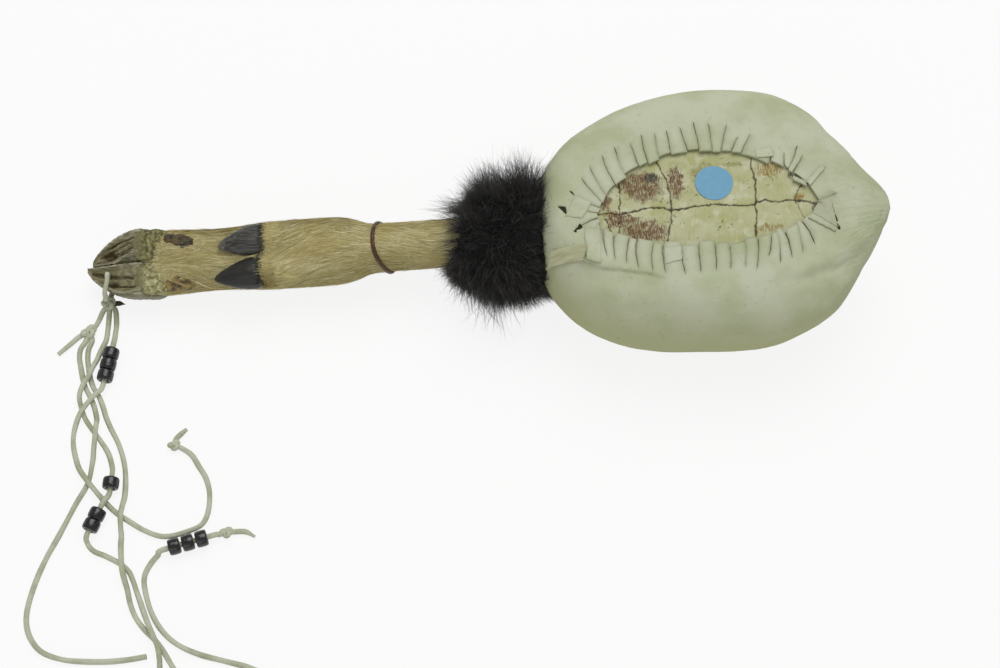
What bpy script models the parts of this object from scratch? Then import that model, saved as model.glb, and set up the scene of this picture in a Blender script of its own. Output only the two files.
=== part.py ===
"""Turtle shell rattle: a turtle shell in a slashed hide cover, on a deer-leg handle.

The rattle lies on its crown and its hooves with the plastron up. The origin is the centre of
the flat crown that it rests on, +X runs from the hooves to the tail of the shell, +Z is up.
"""
import math

import bmesh
import bpy
from mathutils import Matrix, Vector

# Driving dimensions in metres
GAP = 0.0003

# Shell as the hide cover wraps it
SHELL_NECK = 0.0910
SHELL_TAIL = 0.0896
SHELL_HALF_WIDTH = 0.0720
SHELL_HEIGHT = 0.0720
RIM_HEIGHT = 0.0455
RIM_SLOPE = 0.11
TAIL_LIFT = 0.0090
CROWN_RADIUS = 0.0200
COVER_THICKNESS = 0.0016
BONE_THICKNESS = 0.0030
SHOULDER_SHARE = 0.42
BOWL_FULLNESS = 0.91
SHOULDER_FULLNESS = 0.83
NEAR_SHOULDER_FULLNESS = 1.10
TAIL_LIFT_REACH = 8

# Widest outline of the cover, from the tail over the far side to the neck, and back.
# A point is a share of the reach to the tail or the neck and a share of the half width.
RIM_FAR_SIDE = (
    (1.000, 0.000),
    (0.950, 0.167),
    (0.873, 0.311),
    (0.788, 0.479),
    (0.700, 0.610),
    (0.589, 0.786),
    (0.401, 0.938),
    (0.170, 0.996),
    (-0.069, 1.000),
    (-0.303, 0.950),
    (-0.526, 0.851),
    (-0.721, 0.713),
    (-0.874, 0.539),
    (-0.974, 0.307),
    (-1.000, 0.000),
)
RIM_NEAR_SIDE = (
    (-1.000, 0.000),
    (-0.978, -0.308),
    (-0.899, -0.554),
    (-0.758, -0.749),
    (-0.552, -0.892),
    (-0.320, -0.954),
    (-0.080, -0.968),
    (0.137, -0.969),
    (0.366, -0.933),
    (0.561, -0.832),
    (0.702, -0.708),
    (0.789, -0.567),
    (0.850, -0.428),
    (0.902, -0.300),
    (0.946, -0.165),
    (1.000, 0.000),
)

# Window of the cover, from the tail corner over the far side to the neck corner, and back
WINDOW_FAR_SIDE = (
    (0.0530, -0.0048),
    (0.0436, 0.0111),
    (0.0310, 0.0188),
    (0.0110, 0.0266),
    (-0.0170, 0.0258),
    (-0.0330, 0.0198),
    (-0.0520, 0.0070),
    (-0.0605, -0.0088),
)
WINDOW_NEAR_SIDE = (
    (-0.0605, -0.0088),
    (-0.0550, -0.0190),
    (-0.0290, -0.0256),
    (0.0110, -0.0240),
    (0.0370, -0.0160),
    (0.0530, -0.0048),
)
TAB_COUNT = 44
SLIT_LENGTH = 0.0165
SLIT_WIDTH = 0.0010
SLIT_FAN = 0.55
SLIT_OVERSHOOT = 0.0012

# Strap end that lies on the cover beside the neck
STRAP_LENGTH = 0.0175
STRAP_WIDTH = 0.0072
STRAP_THICKNESS = 0.0012
STRAP_CENTRE = (-0.0745, -0.0255)
STRAP_TURN = math.radians(5)
STRAP_STEPS = 12

# Round sticker on the plastron
STICKER_DIAMETER = 0.0193
STICKER_THICKNESS = 0.0004
STICKER_CENTRE = (-0.0003, 0.0090)

# Pebbles in the shell
PEBBLE_SIZE = 0.0068
PEBBLE_RING_COUNT = 7
PEBBLE_RING_RADIUS = 0.0112
PEBBLE_SHAPES = ((1.00, 0.96, 0.82), (1.04, 0.91, 0.87), (1.08, 0.96, 0.92), (1.00, 0.91, 0.97))
PEBBLE_TURN = 0.7

# Handle: distances run from the neck along the leg to the toe
NECK_OFFSET = -0.0030
NECK_HEIGHT = 0.0320
HANDLE_YAW = math.radians(2.4)
HANDLE_ROLL = math.radians(12)
HIDE_START = 0.0012
CORONET = 0.1940
TOE = 0.2395
LEG_STATIONS = (
    (HIDE_START, 0.0122, 0.0122),
    (0.0800, 0.0125, 0.0125),
    (0.0880, 0.0131, 0.0128),
    (0.0960, 0.0160, 0.0145),
    (0.1040, 0.0175, 0.0158),
    (0.1180, 0.0178, 0.0158),
    (0.1320, 0.0178, 0.0142),
    (0.1450, 0.0176, 0.0120),
    (0.1580, 0.0165, 0.0110),
    (0.1740, 0.0162, 0.0112),
    (CORONET - GAP, 0.0172, 0.0118),
)
LEG_SIDES = 20
BONE_RADIUS = 0.0090
BONE_IN_SHELL = 0.0480
BONE_IN_LEG = 0.1350

# Fur collar round the leg at the neck
COLLAR_START = -0.0045
COLLAR_LENGTH = 0.0500
COLLAR_RADIUS = 0.0360
COLLAR_FRONT_RADIUS = 0.0200
COLLAR_LIFT = 0.0010

# Band tied round the leg
BAND_PLACE = 0.0800
BAND_THICKNESS = 0.0022
BAND_TILT = math.radians(11)
BAND_LEAN = math.radians(18)

# Hooves
HOOF_WIDTH = 0.0183
HOOF_TAPER = 0.0290
HOOF_BELLY = 0.0150
HOOF_BELLY_PLACE = 0.2090
HOOF_BELLY_OUT = 0.38
HOOF_HEEL_RISE = 0.0022
TOE_ROUND = 0.62
TOE_DROP = 0.30
TOE_RISE = 0.42
SOLE_HEIGHT = 0.0085
SOLE_SINK = 0.0013
UPPER_TOE_SHORT = 0.0030
CLEFT = 0.0008
PAD_LENGTH = 0.0170
PAD_SEAT = 0.0010
PAD_HEIGHT = 0.0098
DEWCLAW_PLACE = 0.1430
DEWCLAW_LENGTH = 0.0225
DEWCLAW_RADIUS = 0.0086
DEWCLAW_DEPTH = 0.66
DEWCLAW_SIDE = 0.0088
DEWCLAW_SHIFT = -0.0022
DEWCLAW_HEIGHT = 0.0112
DEWCLAW_TILT = math.radians(4)
DEWCLAW_TURN = math.radians(4)
DEWCLAW_SIDES = 14

# Share of the dewclaw's length from its root, and the share of its radius there
DEWCLAW_TAPER = (
    (0.00, 1.00),
    (0.35, 0.95),
    (0.70, 0.68),
    (0.90, 0.38),
    (1.00, 0.12),
)

# Thong of round lace with beads
CORD_DIAMETER = 0.0028
CORD_STEP = 0.0088
HOLE_DIAMETER = 0.0042
HOLE_FROM_TOE = 0.0120
HOLE_SIDE = 0.0056
KNOT_RADIUS = 0.0040
BEAD_DIAMETER = 0.0086
BEAD_LENGTH = 0.0060
BEAD_BORE = 0.0038
BEAD_SPACING = 0.0003
BEAD_SPACING_LOOSE = 0.0011
TABLE_CLEARANCE = 0.00005
CROSSING_CLEARANCE = 0.0006

# Heights of the lace on the table: flat, crossing over another, and through a bead
LOW = CORD_DIAMETER / 2 + TABLE_CLEARANCE
HIGH = LOW + CORD_DIAMETER + CROSSING_CLEARANCE
AXLE = BEAD_DIAMETER / 2 + TABLE_CLEARANCE
MID = (LOW + HIGH) / 2

# Lace routes, measured from the first knot: x, y and height above the table
LEAD_ROUTE = (
    (-0.0030, -0.0034, LOW),
    (-0.0046, -0.0080, LOW),
    (-0.0062, -0.0118, LOW),
)
STRAND_1_ROUTE = (
    (0.0034, -0.0030, LOW),
    (0.0046, -0.0105, LOW),
    (0.0047, -0.0180, MID),
    (0.0043, -0.0240, AXLE),
    (0.0006, -0.0470, AXLE),
    (-0.0020, -0.0512, HIGH),
    (-0.0056, -0.0556, HIGH),
    (-0.0094, -0.0616, HIGH),
    (-0.0118, -0.0672, MID),
    (-0.0132, -0.0735, LOW),
    (-0.0128, -0.0800, LOW),
    (-0.0110, -0.0868, LOW),
    (-0.0085, -0.0930, MID),
    (-0.0045, -0.0988, HIGH),
    (0.0001, -0.1042, MID),
    (0.0052, -0.1098, LOW),
    (0.0096, -0.1142, LOW),
    (0.0140, -0.1178, LOW),
    (0.0182, -0.1204, LOW),
    (0.0262, -0.1253, LOW),
    (0.0346, -0.1286, LOW),
    (0.0413, -0.1286, LOW),
    (0.0498, -0.1260, LOW),
    (0.0562, -0.1226, LOW),
    (0.0591, -0.1160, LOW),
    (0.0594, -0.1064, LOW),
    (0.0572, -0.0980, LOW),
    (0.0528, -0.0908, LOW),
    (0.0490, -0.0850, LOW),
    (0.0436, -0.0812, LOW),
)
STRAND_2_ROUTE = (
    (-0.0112, -0.0214, LOW),
    (-0.0134, -0.0255, LOW),
    (-0.0136, -0.0305, LOW),
    (-0.0126, -0.0352, LOW),
    (-0.0112, -0.0410, LOW),
    (-0.0093, -0.0470, LOW),
    (-0.0060, -0.0530, LOW),
    (-0.0034, -0.0590, LOW),
    (-0.0018, -0.0650, LOW),
    (-0.0013, -0.0700, HIGH),
    (-0.0014, -0.0765, HIGH),
    (-0.0018, -0.0830, MID),
    (-0.0022, -0.0890, LOW),
    (-0.0038, -0.1005, LOW),
    (-0.0091, -0.1118, LOW),
    (-0.0160, -0.1279, LOW),
    (-0.0220, -0.1412, LOW),
    (-0.0264, -0.1543, LOW),
    (-0.0289, -0.1668, LOW),
    (-0.0286, -0.1756, LOW),
    (-0.0254, -0.1833, LOW),
    (-0.0194, -0.1894, LOW),
    (-0.0091, -0.1930, LOW),
    (0.0020, -0.1940, LOW),
    (0.0139, -0.1940, LOW),
    (0.0238, -0.1930, LOW),
    (0.0326, -0.1914, LOW),
)
STRAND_3_ROUTE = (
    (0.0003, -0.0043, LOW),
    (0.0003, -0.0120, LOW),
    (-0.0002, -0.0200, LOW),
    (-0.0024, -0.0262, LOW),
    (-0.0040, -0.0310, LOW),
    (-0.0055, -0.0370, HIGH),
    (-0.0072, -0.0418, HIGH),
    (-0.0100, -0.0474, HIGH),
    (-0.0116, -0.0530, MID),
    (-0.0100, -0.0598, LOW),
    (-0.0074, -0.0656, LOW),
    (-0.0030, -0.0718, LOW),
    (0.0014, -0.0776, LOW),
    (0.0057, -0.0842, LOW),
    (0.0085, -0.0920, MID),
    (0.0090, -0.0962, AXLE),
    (0.0084, -0.1064, AXLE),
    (0.0061, -0.1108, HIGH),
    (0.0046, -0.1135, AXLE),
    (-0.0014, -0.1285, AXLE),
    (-0.0012, -0.1330, LOW),
    (0.0022, -0.1368, LOW),
    (0.0083, -0.1394, LOW),
    (0.0158, -0.1433, LOW),
    (0.0206, -0.1475, LOW),
    (0.0232, -0.1524, LOW),
    (0.0254, -0.1580, LOW),
    (0.0278, -0.1640, LOW),
    (0.0304, -0.1705, LOW),
    (0.0330, -0.1760, HIGH),
    (0.0362, -0.1826, HIGH),
    (0.0385, -0.1880, HIGH),
    (0.0394, -0.1950, LOW),
    (0.0398, -0.2040, LOW),
    (0.0402, -0.2170, LOW),
    (0.0396, -0.2300, LOW),
)
STRAND_4_ROUTE = (
    (-0.0077, -0.0206, LOW),
    (-0.0091, -0.0255, LOW),
    (-0.0092, -0.0308, LOW),
    (-0.0083, -0.0362, LOW),
    (-0.0070, -0.0420, LOW),
    (-0.0048, -0.0476, LOW),
    (-0.0014, -0.0528, LOW),
    (0.0010, -0.0584, LOW),
    (0.0030, -0.0640, LOW),
    (0.0058, -0.0700, LOW),
    (0.0104, -0.0785, LOW),
    (0.0140, -0.0884, LOW),
    (0.0156, -0.0980, LOW),
    (0.0158, -0.1070, LOW),
    (0.0152, -0.1130, MID),
    (0.0149, -0.1183, HIGH),
    (0.0151, -0.1240, MID),
    (0.0156, -0.1290, LOW),
    (0.0160, -0.1348, MID),
    (0.0175, -0.1458, HIGH),
    (0.0190, -0.1520, MID),
    (0.0206, -0.1570, LOW),
    (0.0228, -0.1650, LOW),
    (0.0262, -0.1720, LOW),
    (0.0308, -0.1778, LOW),
    (0.0370, -0.1838, LOW),
    (0.0410, -0.1890, LOW),
    (0.0465, -0.1975, LOW),
    (0.0545, -0.2080, LOW),
    (0.0680, -0.2175, LOW),
    (0.0850, -0.2200, LOW),
    (0.0975, -0.2140, LOW),
    (0.0970, -0.2040, LOW),
    (0.0853, -0.1975, LOW),
    (0.0720, -0.1938, LOW),
    (0.0591, -0.1904, LOW),
    (0.0480, -0.1855, LOW),
    (0.0398, -0.1786, LOW),
    (0.0336, -0.1690, LOW),
    (0.0298, -0.1580, LOW),
    (0.0288, -0.1505, LOW),
    (0.0312, -0.1440, LOW),
    (0.0352, -0.1394, MID),
    (0.0380, -0.1368, AXLE),
    (0.0624, -0.1293, AXLE),
    (0.0651, -0.1285, MID),
)
TAIL_1_ROUTE = (
    (0.0042, 0.0011, LOW),
    (0.0062, 0.0010, LOW),
    (0.0084, 0.0006, LOW),
)
TAIL_2_ROUTE = (
    (-0.0145, -0.0182, LOW),
    (-0.0192, -0.0228, LOW),
    (-0.0250, -0.0284, LOW),
)
END_TAIL_1_ROUTE = (
    (0.0404, -0.0760, LOW),
    (0.0430, -0.0730, LOW),
    (0.0456, -0.0706, LOW),
)
END_TAIL_4_ROUTE = (
    (0.0736, -0.1264, LOW),
    (0.0790, -0.1265, LOW),
    (0.0837, -0.1290, LOW),
)
KNOT_1_FROM_HOLE = (-0.0012, -0.0105)
KNOT_2_CENTRE = (-0.0092, -0.0162)
KNOT_2_TURN = math.radians(32)
END_KNOT_1_CENTRE = (0.0397, -0.0800)
END_KNOT_4_CENTRE = (0.0693, -0.1272)

# Bead groups: strand route, index of the straight run in it, beads, and spacing along the run
BEAD_GROUPS = (
    ("bead_a", STRAND_1_ROUTE, 3, 3, BEAD_SPACING),
    ("bead_b", STRAND_3_ROUTE, 15, 1, BEAD_SPACING),
    ("bead_c", STRAND_3_ROUTE, 18, 2, BEAD_SPACING),
    ("bead_d", STRAND_4_ROUTE, 43, 3, BEAD_SPACING_LOOSE),
)

# Mesh fineness
SHELL_SIDES = 48
LOWER_RINGS = 5
UPPER_RINGS = 4

COLOURS = {
    "hide_cover": ((0.52, 0.53, 0.42), 0.85),
    "straw_strap": ((0.60, 0.54, 0.34), 0.8),
    "shell_bone": ((0.62, 0.52, 0.33), 0.55),
    "blue_paper": ((0.10, 0.30, 0.62), 0.6),
    "pebble_stone": ((0.35, 0.33, 0.30), 0.7),
    "leg_hair": ((0.45, 0.32, 0.20), 0.9),
    "leg_bone": ((0.72, 0.66, 0.52), 0.6),
    "black_fur": ((0.02, 0.02, 0.02), 0.8),
    "brown_band": ((0.20, 0.10, 0.05), 0.5),
    "hoof_horn": ((0.20, 0.17, 0.14), 0.5),
    "heel_pad": ((0.55, 0.46, 0.28), 0.8),
    "pale_lace": ((0.55, 0.56, 0.43), 0.7),
    "black_bead": ((0.01, 0.01, 0.01), 0.15),
}


def clear_scene():
    for old in list(bpy.data.objects):
        bpy.data.objects.remove(old, do_unlink=True)


def new_collection(name):
    made = bpy.data.collections.new(name)
    bpy.context.scene.collection.children.link(made)
    return made


def make_material(name):
    colour, roughness = COLOURS[name]
    material = bpy.data.materials.new(name)
    material.use_nodes = True
    shader = material.node_tree.nodes["Principled BSDF"]
    shader.inputs["Base Color"].default_value = (*colour, 1.0)
    shader.inputs["Roughness"].default_value = roughness
    shader.inputs["Metallic"].default_value = 0.0
    return material


def place(obj, material, parent=None):
    """Put a finished sub-part in the object's collection."""
    PARTS.objects.link(obj)
    obj.data.materials.append(MATERIALS[material])
    obj.parent = parent
    return obj


def place_cutter(obj, parent=None):
    CUTTERS.objects.link(obj)
    obj.hide_render = True
    obj.display_type = 'WIRE'
    obj.parent = parent
    return obj


def object_from(name, work, smooth_angle=math.radians(40)):
    """Turn a bmesh into an object that is shaded smooth, with its corners kept sharp."""
    mesh = bpy.data.meshes.new(name)
    work.to_mesh(mesh)
    work.free()
    mesh.shade_smooth()
    mesh.set_sharp_from_angle(angle=smooth_angle)
    return bpy.data.objects.new(name, mesh)


def cut(obj, cutter):
    modifier = obj.modifiers.new("Cut", 'BOOLEAN')
    modifier.operation = 'DIFFERENCE'
    modifier.solver = 'EXACT'
    modifier.object = cutter


def loft(rings, cap_start=True, cap_end=True):
    """Faces between rings of as many points each, counter-clockwise round the way they advance."""
    work = bmesh.new()
    loops = [[work.verts.new(point) for point in ring] for ring in rings]
    for first, second in zip(loops, loops[1:]):
        count = len(first)
        for i in range(count):
            j = (i + 1) % count
            work.faces.new((first[i], first[j], second[j], second[i]))
    if cap_start:
        work.faces.new(list(reversed(loops[0])))
    if cap_end:
        work.faces.new(loops[-1])
    return work


def spline_points(points, pieces=12):
    """A smooth curve through the points, as a fine list."""
    ends = [2 * points[0] - points[1], *points, 2 * points[-1] - points[-2]]
    fine = []
    for before, start, end, after in zip(ends, ends[1:], ends[2:], ends[3:]):
        for i in range(pieces):
            t = i / pieces
            fine.append(0.5 * (
                2 * start
                + (end - before) * t
                + (2 * before - 5 * start + 4 * end - after) * t ** 2
                + (3 * start - before - 3 * end + after) * t ** 3
            ))
    fine.append(points[-1].copy())
    return fine


def evenly_spaced(line, count):
    """count + 1 points at equal steps along a line of points."""
    lengths = [0.0]
    for start, end in zip(line, line[1:]):
        lengths.append(lengths[-1] + (end - start).length)
    spaced = []
    piece = 0
    for i in range(count + 1):
        target = lengths[-1] * i / count
        while piece < len(line) - 2 and lengths[piece + 1] < target:
            piece += 1
        share = (target - lengths[piece]) / (lengths[piece + 1] - lengths[piece])
        spaced.append(line[piece].lerp(line[piece + 1], min(share, 1.0)))
    return spaced


def rim_outline(count):
    """The widest outline of the cover, with count / 2 steps on each side of it."""
    outline = []
    for side in (RIM_FAR_SIDE, RIM_NEAR_SIDE):
        points = []
        for along, out in side:
            reach = SHELL_TAIL if along > 0 else SHELL_NECK
            points.append(Vector((reach * along, SHELL_HALF_WIDTH * out, 0)))
        outline += evenly_spaced(spline_points(points), count // 2)[:-1]
    for point in outline:
        ahead = max(0.0, point.x / SHELL_TAIL)
        point.z = RIM_HEIGHT + RIM_SLOPE * point.x + TAIL_LIFT * ahead ** TAIL_LIFT_REACH
    return outline


def window_outline(count):
    """The window in the cover, with count / 2 steps on each side of it."""
    outline = []
    for side in (WINDOW_FAR_SIDE, WINDOW_NEAR_SIDE):
        line = spline_points([Vector((x, y, SHELL_HEIGHT)) for x, y in side])
        outline += evenly_spaced(line, count // 2)[:-1]
    return outline


def shell_rings():
    """Rings of the cover's outside from the crown up to the window."""
    rims = rim_outline(SHELL_SIDES)
    windows = window_outline(SHELL_SIDES)
    shoulders = [w + Vector((r.x - w.x, r.y - w.y, 0)) * SHOULDER_SHARE for r, w in zip(rims, windows)]
    crown_share = CROWN_RADIUS / SHELL_HALF_WIDTH
    rings = []
    for k in range(LOWER_RINGS + 1):
        angle = math.pi / 2 * k / LOWER_RINGS
        out = crown_share + (1 - crown_share) * math.sin(angle) ** BOWL_FULLNESS
        rise = 1 - max(0.0, math.cos(angle)) ** BOWL_FULLNESS
        rings.append([Vector((r.x * out, r.y * out, r.z * rise)) for r in rims])
    for k in range(1, UPPER_RINGS + 1):
        angle = math.pi / 2 * k / UPPER_RINGS
        ring = []
        for r, s in zip(rims, shoulders):
            near = max(0.0, -r.y / SHELL_HALF_WIDTH)
            fullness = SHOULDER_FULLNESS + (NEAR_SHOULDER_FULLNESS - SHOULDER_FULLNESS) * near
            out = max(0.0, math.cos(angle)) ** fullness
            rise = math.sin(angle) ** fullness
            ring.append(Vector((
                s.x + (r.x - s.x) * out,
                s.y + (r.y - s.y) * out,
                r.z + (SHELL_HEIGHT - r.z) * rise,
            )))
        rings.append(ring)
    rings.append(windows)
    return rings


def shell_skin(inset, closed=False):
    """The cover's outside moved in by a distance; the last ring is the window's."""
    work = loft(shell_rings(), cap_end=closed)
    work.normal_update()
    moved = [vert.co - vert.normal * inset for vert in work.verts]
    for vert, point in zip(work.verts, moved):
        vert.co = point
    work.verts.ensure_lookup_table()
    return work


def add_solidify(obj, thickness, offset=-1.0):
    modifier = obj.modifiers.new("Thickness", 'SOLIDIFY')
    modifier.thickness = thickness
    modifier.offset = offset
    modifier.use_rim = True


def slit_cutter():
    """One thin blade for each slit, set along the window's edge and fanned at its ends."""
    outline = window_outline(TAB_COUNT)
    work = bmesh.new()
    blade = SLIT_LENGTH + SLIT_OVERSHOOT
    for i, point in enumerate(outline):
        along = outline[(i + 1) % len(outline)] - outline[i - 1]
        out = Vector((along.y * SLIT_FAN, -along.x, 0)).normalized()
        middle = point + out * (blade / 2 - SLIT_OVERSHOOT)
        turn = Matrix.Rotation(math.atan2(out.y, out.x), 4, 'Z')
        size = Matrix.Diagonal((blade, SLIT_WIDTH, SHELL_HEIGHT / 2, 1.0))
        bmesh.ops.create_cube(work, size=1.0, matrix=Matrix.Translation(middle) @ turn @ size)
    return place_cutter(object_from("slit_blades", work))


def build_cover(neck_bore, clearance_body):
    cover = place(object_from("leather_cover", shell_skin(0.0)), "hide_cover")
    add_solidify(cover, COVER_THICKNESS)
    cut(cover, slit_cutter())
    cut(cover, neck_bore)
    strap = bmesh.new()
    bmesh.ops.create_grid(strap, x_segments=STRAP_STEPS, y_segments=4, size=0.5)
    bmesh.ops.scale(strap, vec=(STRAP_LENGTH, STRAP_WIDTH, 1.0), verts=strap.verts)
    strap_end = place(object_from("strap_end", strap), "straw_strap")
    strap_end.location = (*STRAP_CENTRE, SHELL_HEIGHT * 1.5)
    strap_end.rotation_euler.z = STRAP_TURN
    wrap = strap_end.modifiers.new("Lie on cover", 'SHRINKWRAP')
    wrap.target = clearance_body
    wrap.wrap_method = 'PROJECT'
    wrap.use_project_z = True
    wrap.use_negative_direction = True
    wrap.use_positive_direction = False
    wrap.offset = GAP
    add_solidify(strap_end, STRAP_THICKNESS, offset=1.0)


def build_shell_bone(neck_bore):
    inset = COVER_THICKNESS + GAP
    bowl = shell_skin(inset)
    bmesh.ops.delete(bowl, geom=bowl.verts[-SHELL_SIDES:], context='VERTS')
    carapace = place(object_from("carapace", bowl), "shell_bone")
    add_solidify(carapace, BONE_THICKNESS)
    cut(carapace, neck_bore)
    skin = shell_skin(inset)
    first = len(skin.verts) - 2 * SHELL_SIDES
    shoulder = [skin.verts[first + i].co.copy() for i in range(SHELL_SIDES)]
    skin.free()
    middle = sum(shoulder, Vector()) / SHELL_SIDES
    seat = GAP + BONE_THICKNESS * 0.35
    curve = bpy.data.curves.new("plastron", 'CURVE')
    curve.dimensions = '2D'
    curve.fill_mode = 'BOTH'
    curve.extrude = BONE_THICKNESS / 2
    outline = curve.splines.new('POLY')
    outline.points.add(SHELL_SIDES - 1)
    for target, point in zip(outline.points, shoulder):
        inward = (middle - point).to_2d().normalized() * seat
        target.co = (point.x + inward.x, point.y + inward.y, 0, 1)
    outline.use_cyclic_u = True
    plastron = place(bpy.data.objects.new("plastron", curve), "shell_bone")
    plastron.location.z = SHELL_HEIGHT - inset - BONE_THICKNESS / 2
    work = bmesh.new()
    radius = STICKER_DIAMETER / 2
    bmesh.ops.create_cone(
        work, cap_ends=True, segments=32, radius1=radius, radius2=radius, depth=STICKER_THICKNESS
    )
    sticker = place(object_from("round_sticker", work), "blue_paper")
    sticker.location = (*STICKER_CENTRE, SHELL_HEIGHT - inset + GAP + STICKER_THICKNESS / 2)


def build_pebbles():
    """Seven pebbles in a ring and one in the middle, on the floor of the bowl."""
    floor = COVER_THICKNESS + GAP + BONE_THICKNESS
    places = [(0.0, 0.0)]
    for i in range(PEBBLE_RING_COUNT):
        turn = 2 * math.pi * i / PEBBLE_RING_COUNT
        places.append((PEBBLE_RING_RADIUS * math.cos(turn), PEBBLE_RING_RADIUS * math.sin(turn)))
    for i, (x, y) in enumerate(places):
        work = bmesh.new()
        bmesh.ops.create_icosphere(work, subdivisions=2, radius=PEBBLE_SIZE / 2)
        shape = PEBBLE_SHAPES[i % len(PEBBLE_SHAPES)]
        bmesh.ops.scale(work, vec=shape, verts=work.verts)
        pebble = place(object_from(f"pebble_{i + 1}", work), "pebble_stone")
        pebble.location = (x, y, floor + GAP + PEBBLE_SIZE / 2 * shape[2])
        pebble.rotation_euler.z = PEBBLE_TURN * i


def handle_frame():
    """An empty at the neck whose +X runs up the leg, pitched so that the hooves touch the table."""
    belly_side = CLEFT / 2 + HOOF_BELLY_OUT * HOOF_WIDTH
    belly = HOOF_BELLY * math.cos(HANDLE_ROLL) + belly_side * math.sin(HANDLE_ROLL)
    reach = math.hypot(HOOF_BELLY_PLACE, belly)
    pitch = math.asin(NECK_HEIGHT / reach) - math.atan2(belly, HOOF_BELLY_PLACE)
    frame = bpy.data.objects.new("handle_axis", None)
    PARTS.objects.link(frame)
    frame.location = (-SHELL_NECK, NECK_OFFSET, NECK_HEIGHT)
    frame.rotation_euler = (HANDLE_ROLL, -pitch, HANDLE_YAW)
    bpy.context.view_layer.update()
    return frame


def oval(distance, half_width, half_height, sides=LEG_SIDES):
    """A section of the leg, square to it, at a distance from the neck."""
    ring = []
    for i in range(sides):
        turn = 2 * math.pi * i / sides
        ring.append(Vector((-distance, half_width * math.cos(turn), half_height * math.sin(turn))))
    return list(reversed(ring))


def leg_body(extra=0.0):
    return loft([oval(place_at, wide + extra, high + extra) for place_at, wide, high in LEG_STATIONS])


def bone_body(extra=0.0):
    radius = BONE_RADIUS + extra
    stations = (
        (-BONE_IN_SHELL - extra, radius * 0.75),
        (-BONE_IN_SHELL + BONE_RADIUS * 0.4, radius),
        (BONE_IN_LEG - BONE_RADIUS * 0.4, radius),
        (BONE_IN_LEG + extra, radius * 0.75),
    )
    return loft([oval(at, wide, wide, 16) for at, wide in stations])


def build_leg(frame, clearance_body):
    hide = place(object_from("leg_hide", leg_body()), "leg_hair", frame)
    bone_bore = place_cutter(object_from("bone_bore", bone_body(GAP)), frame)
    cut(hide, bone_bore)
    place(object_from("cannon_bone", bone_body()), "leg_bone", frame)
    bore = LEG_STATIONS[1][1] + 1.5 * GAP
    profile = (
        (COLLAR_RADIUS * 0.92, COLLAR_START),
        (COLLAR_RADIUS, COLLAR_START + COLLAR_LENGTH * 0.15),
        (COLLAR_RADIUS, COLLAR_START + COLLAR_LENGTH * 0.5),
        (COLLAR_RADIUS * 0.92, COLLAR_START + COLLAR_LENGTH * 0.75),
        (COLLAR_FRONT_RADIUS, COLLAR_START + COLLAR_LENGTH),
        (bore, COLLAR_START + COLLAR_LENGTH),
        (bore, COLLAR_START),
    )
    collar = place(turned("fur_collar", profile, 24), "black_fur", frame)
    collar.rotation_euler.y = math.pi / 2
    cut(collar, clearance_body)
    table = bmesh.new()
    slab = 4 * COLLAR_RADIUS
    bmesh.ops.create_cube(table, size=slab)
    below = place_cutter(object_from("table_slab", table))
    below.location = (-SHELL_NECK, NECK_OFFSET, COLLAR_LIFT - slab / 2)
    cut(collar, below)
    band_bore = LEG_STATIONS[1][1] + BAND_THICKNESS / 2 + 3 * GAP
    bpy.ops.mesh.primitive_torus_add(
        major_radius=band_bore, minor_radius=BAND_THICKNESS / 2, major_segments=28, minor_segments=6
    )
    band = bpy.context.object
    band.name = "leg_band"
    band.data.shade_smooth()
    bpy.context.collection.objects.unlink(band)
    place(band, "brown_band", frame)
    band.location.x = -BAND_PLACE
    band.rotation_euler = (0, math.pi / 2 - BAND_LEAN, BAND_TILT)
    band.scale = (1 / math.cos(BAND_LEAN), 1 / math.cos(BAND_TILT), 1)


def turned(name, profile, steps):
    """A closed profile of radius and distance points, turned round the object's own Z axis."""
    work = bmesh.new()
    corners = [work.verts.new((radius, 0, -distance)) for radius, distance in profile]
    for start, end in zip(corners, corners[1:] + corners[:1]):
        work.edges.new((start, end))
    obj = object_from(name, work)
    screw = obj.modifiers.new("Turn", 'SCREW')
    screw.axis = 'Z'
    screw.angle = 2 * math.pi
    screw.steps = steps
    screw.render_steps = steps
    screw.use_merge_vertices = True
    screw.merge_threshold = 0.00001
    screw.use_smooth_shade = True
    return obj


def hoof_section(distance, side, toe):
    """Cross section of a hoof: flat at the cleft, round outside, with a sunken sole between rims."""
    from_toe = toe - distance
    reach = min(1.0, max(0.02, from_toe / HOOF_TAPER))
    wide = HOOF_WIDTH * math.sin(math.pi / 2 * reach) ** TOE_ROUND
    top = SOLE_HEIGHT - TOE_DROP * (SOLE_HEIGHT + HOOF_BELLY) * (1 - reach) ** 1.3
    belly_reach = min(1.0, from_toe / (toe - HOOF_BELLY_PLACE))
    bottom = -HOOF_BELLY + TOE_RISE * (SOLE_HEIGHT + HOOF_BELLY) * (1 - belly_reach) ** 1.4
    if distance < HOOF_BELLY_PLACE:
        bottom = -HOOF_BELLY + HOOF_HEEL_RISE * (HOOF_BELLY_PLACE - distance) / (HOOF_BELLY_PLACE - CORONET)
    sink = SOLE_SINK * min(1.0, from_toe / HOOF_TAPER * 3)
    if distance < CORONET + PAD_LENGTH:
        top = PAD_SEAT
        sink = 0.0
    deep = top - bottom
    outline = (
        (0.00, top),
        (0.14, top),
        (0.22, top - sink),
        (0.74, top - sink),
        (0.84, top),
        (0.98, top - 0.06 * deep),
        (1.00, top - 0.30 * deep),
        (0.94, top - 0.62 * deep),
        (0.72, top - 0.90 * deep),
        (HOOF_BELLY_OUT, bottom),
        (0.10, top - 0.96 * deep),
        (0.00, top - 0.82 * deep),
    )
    ring = [Vector((-distance, side * (CLEFT / 2 + out * wide), z)) for out, z in outline]
    return ring if side > 0 else list(reversed(ring))


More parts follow.
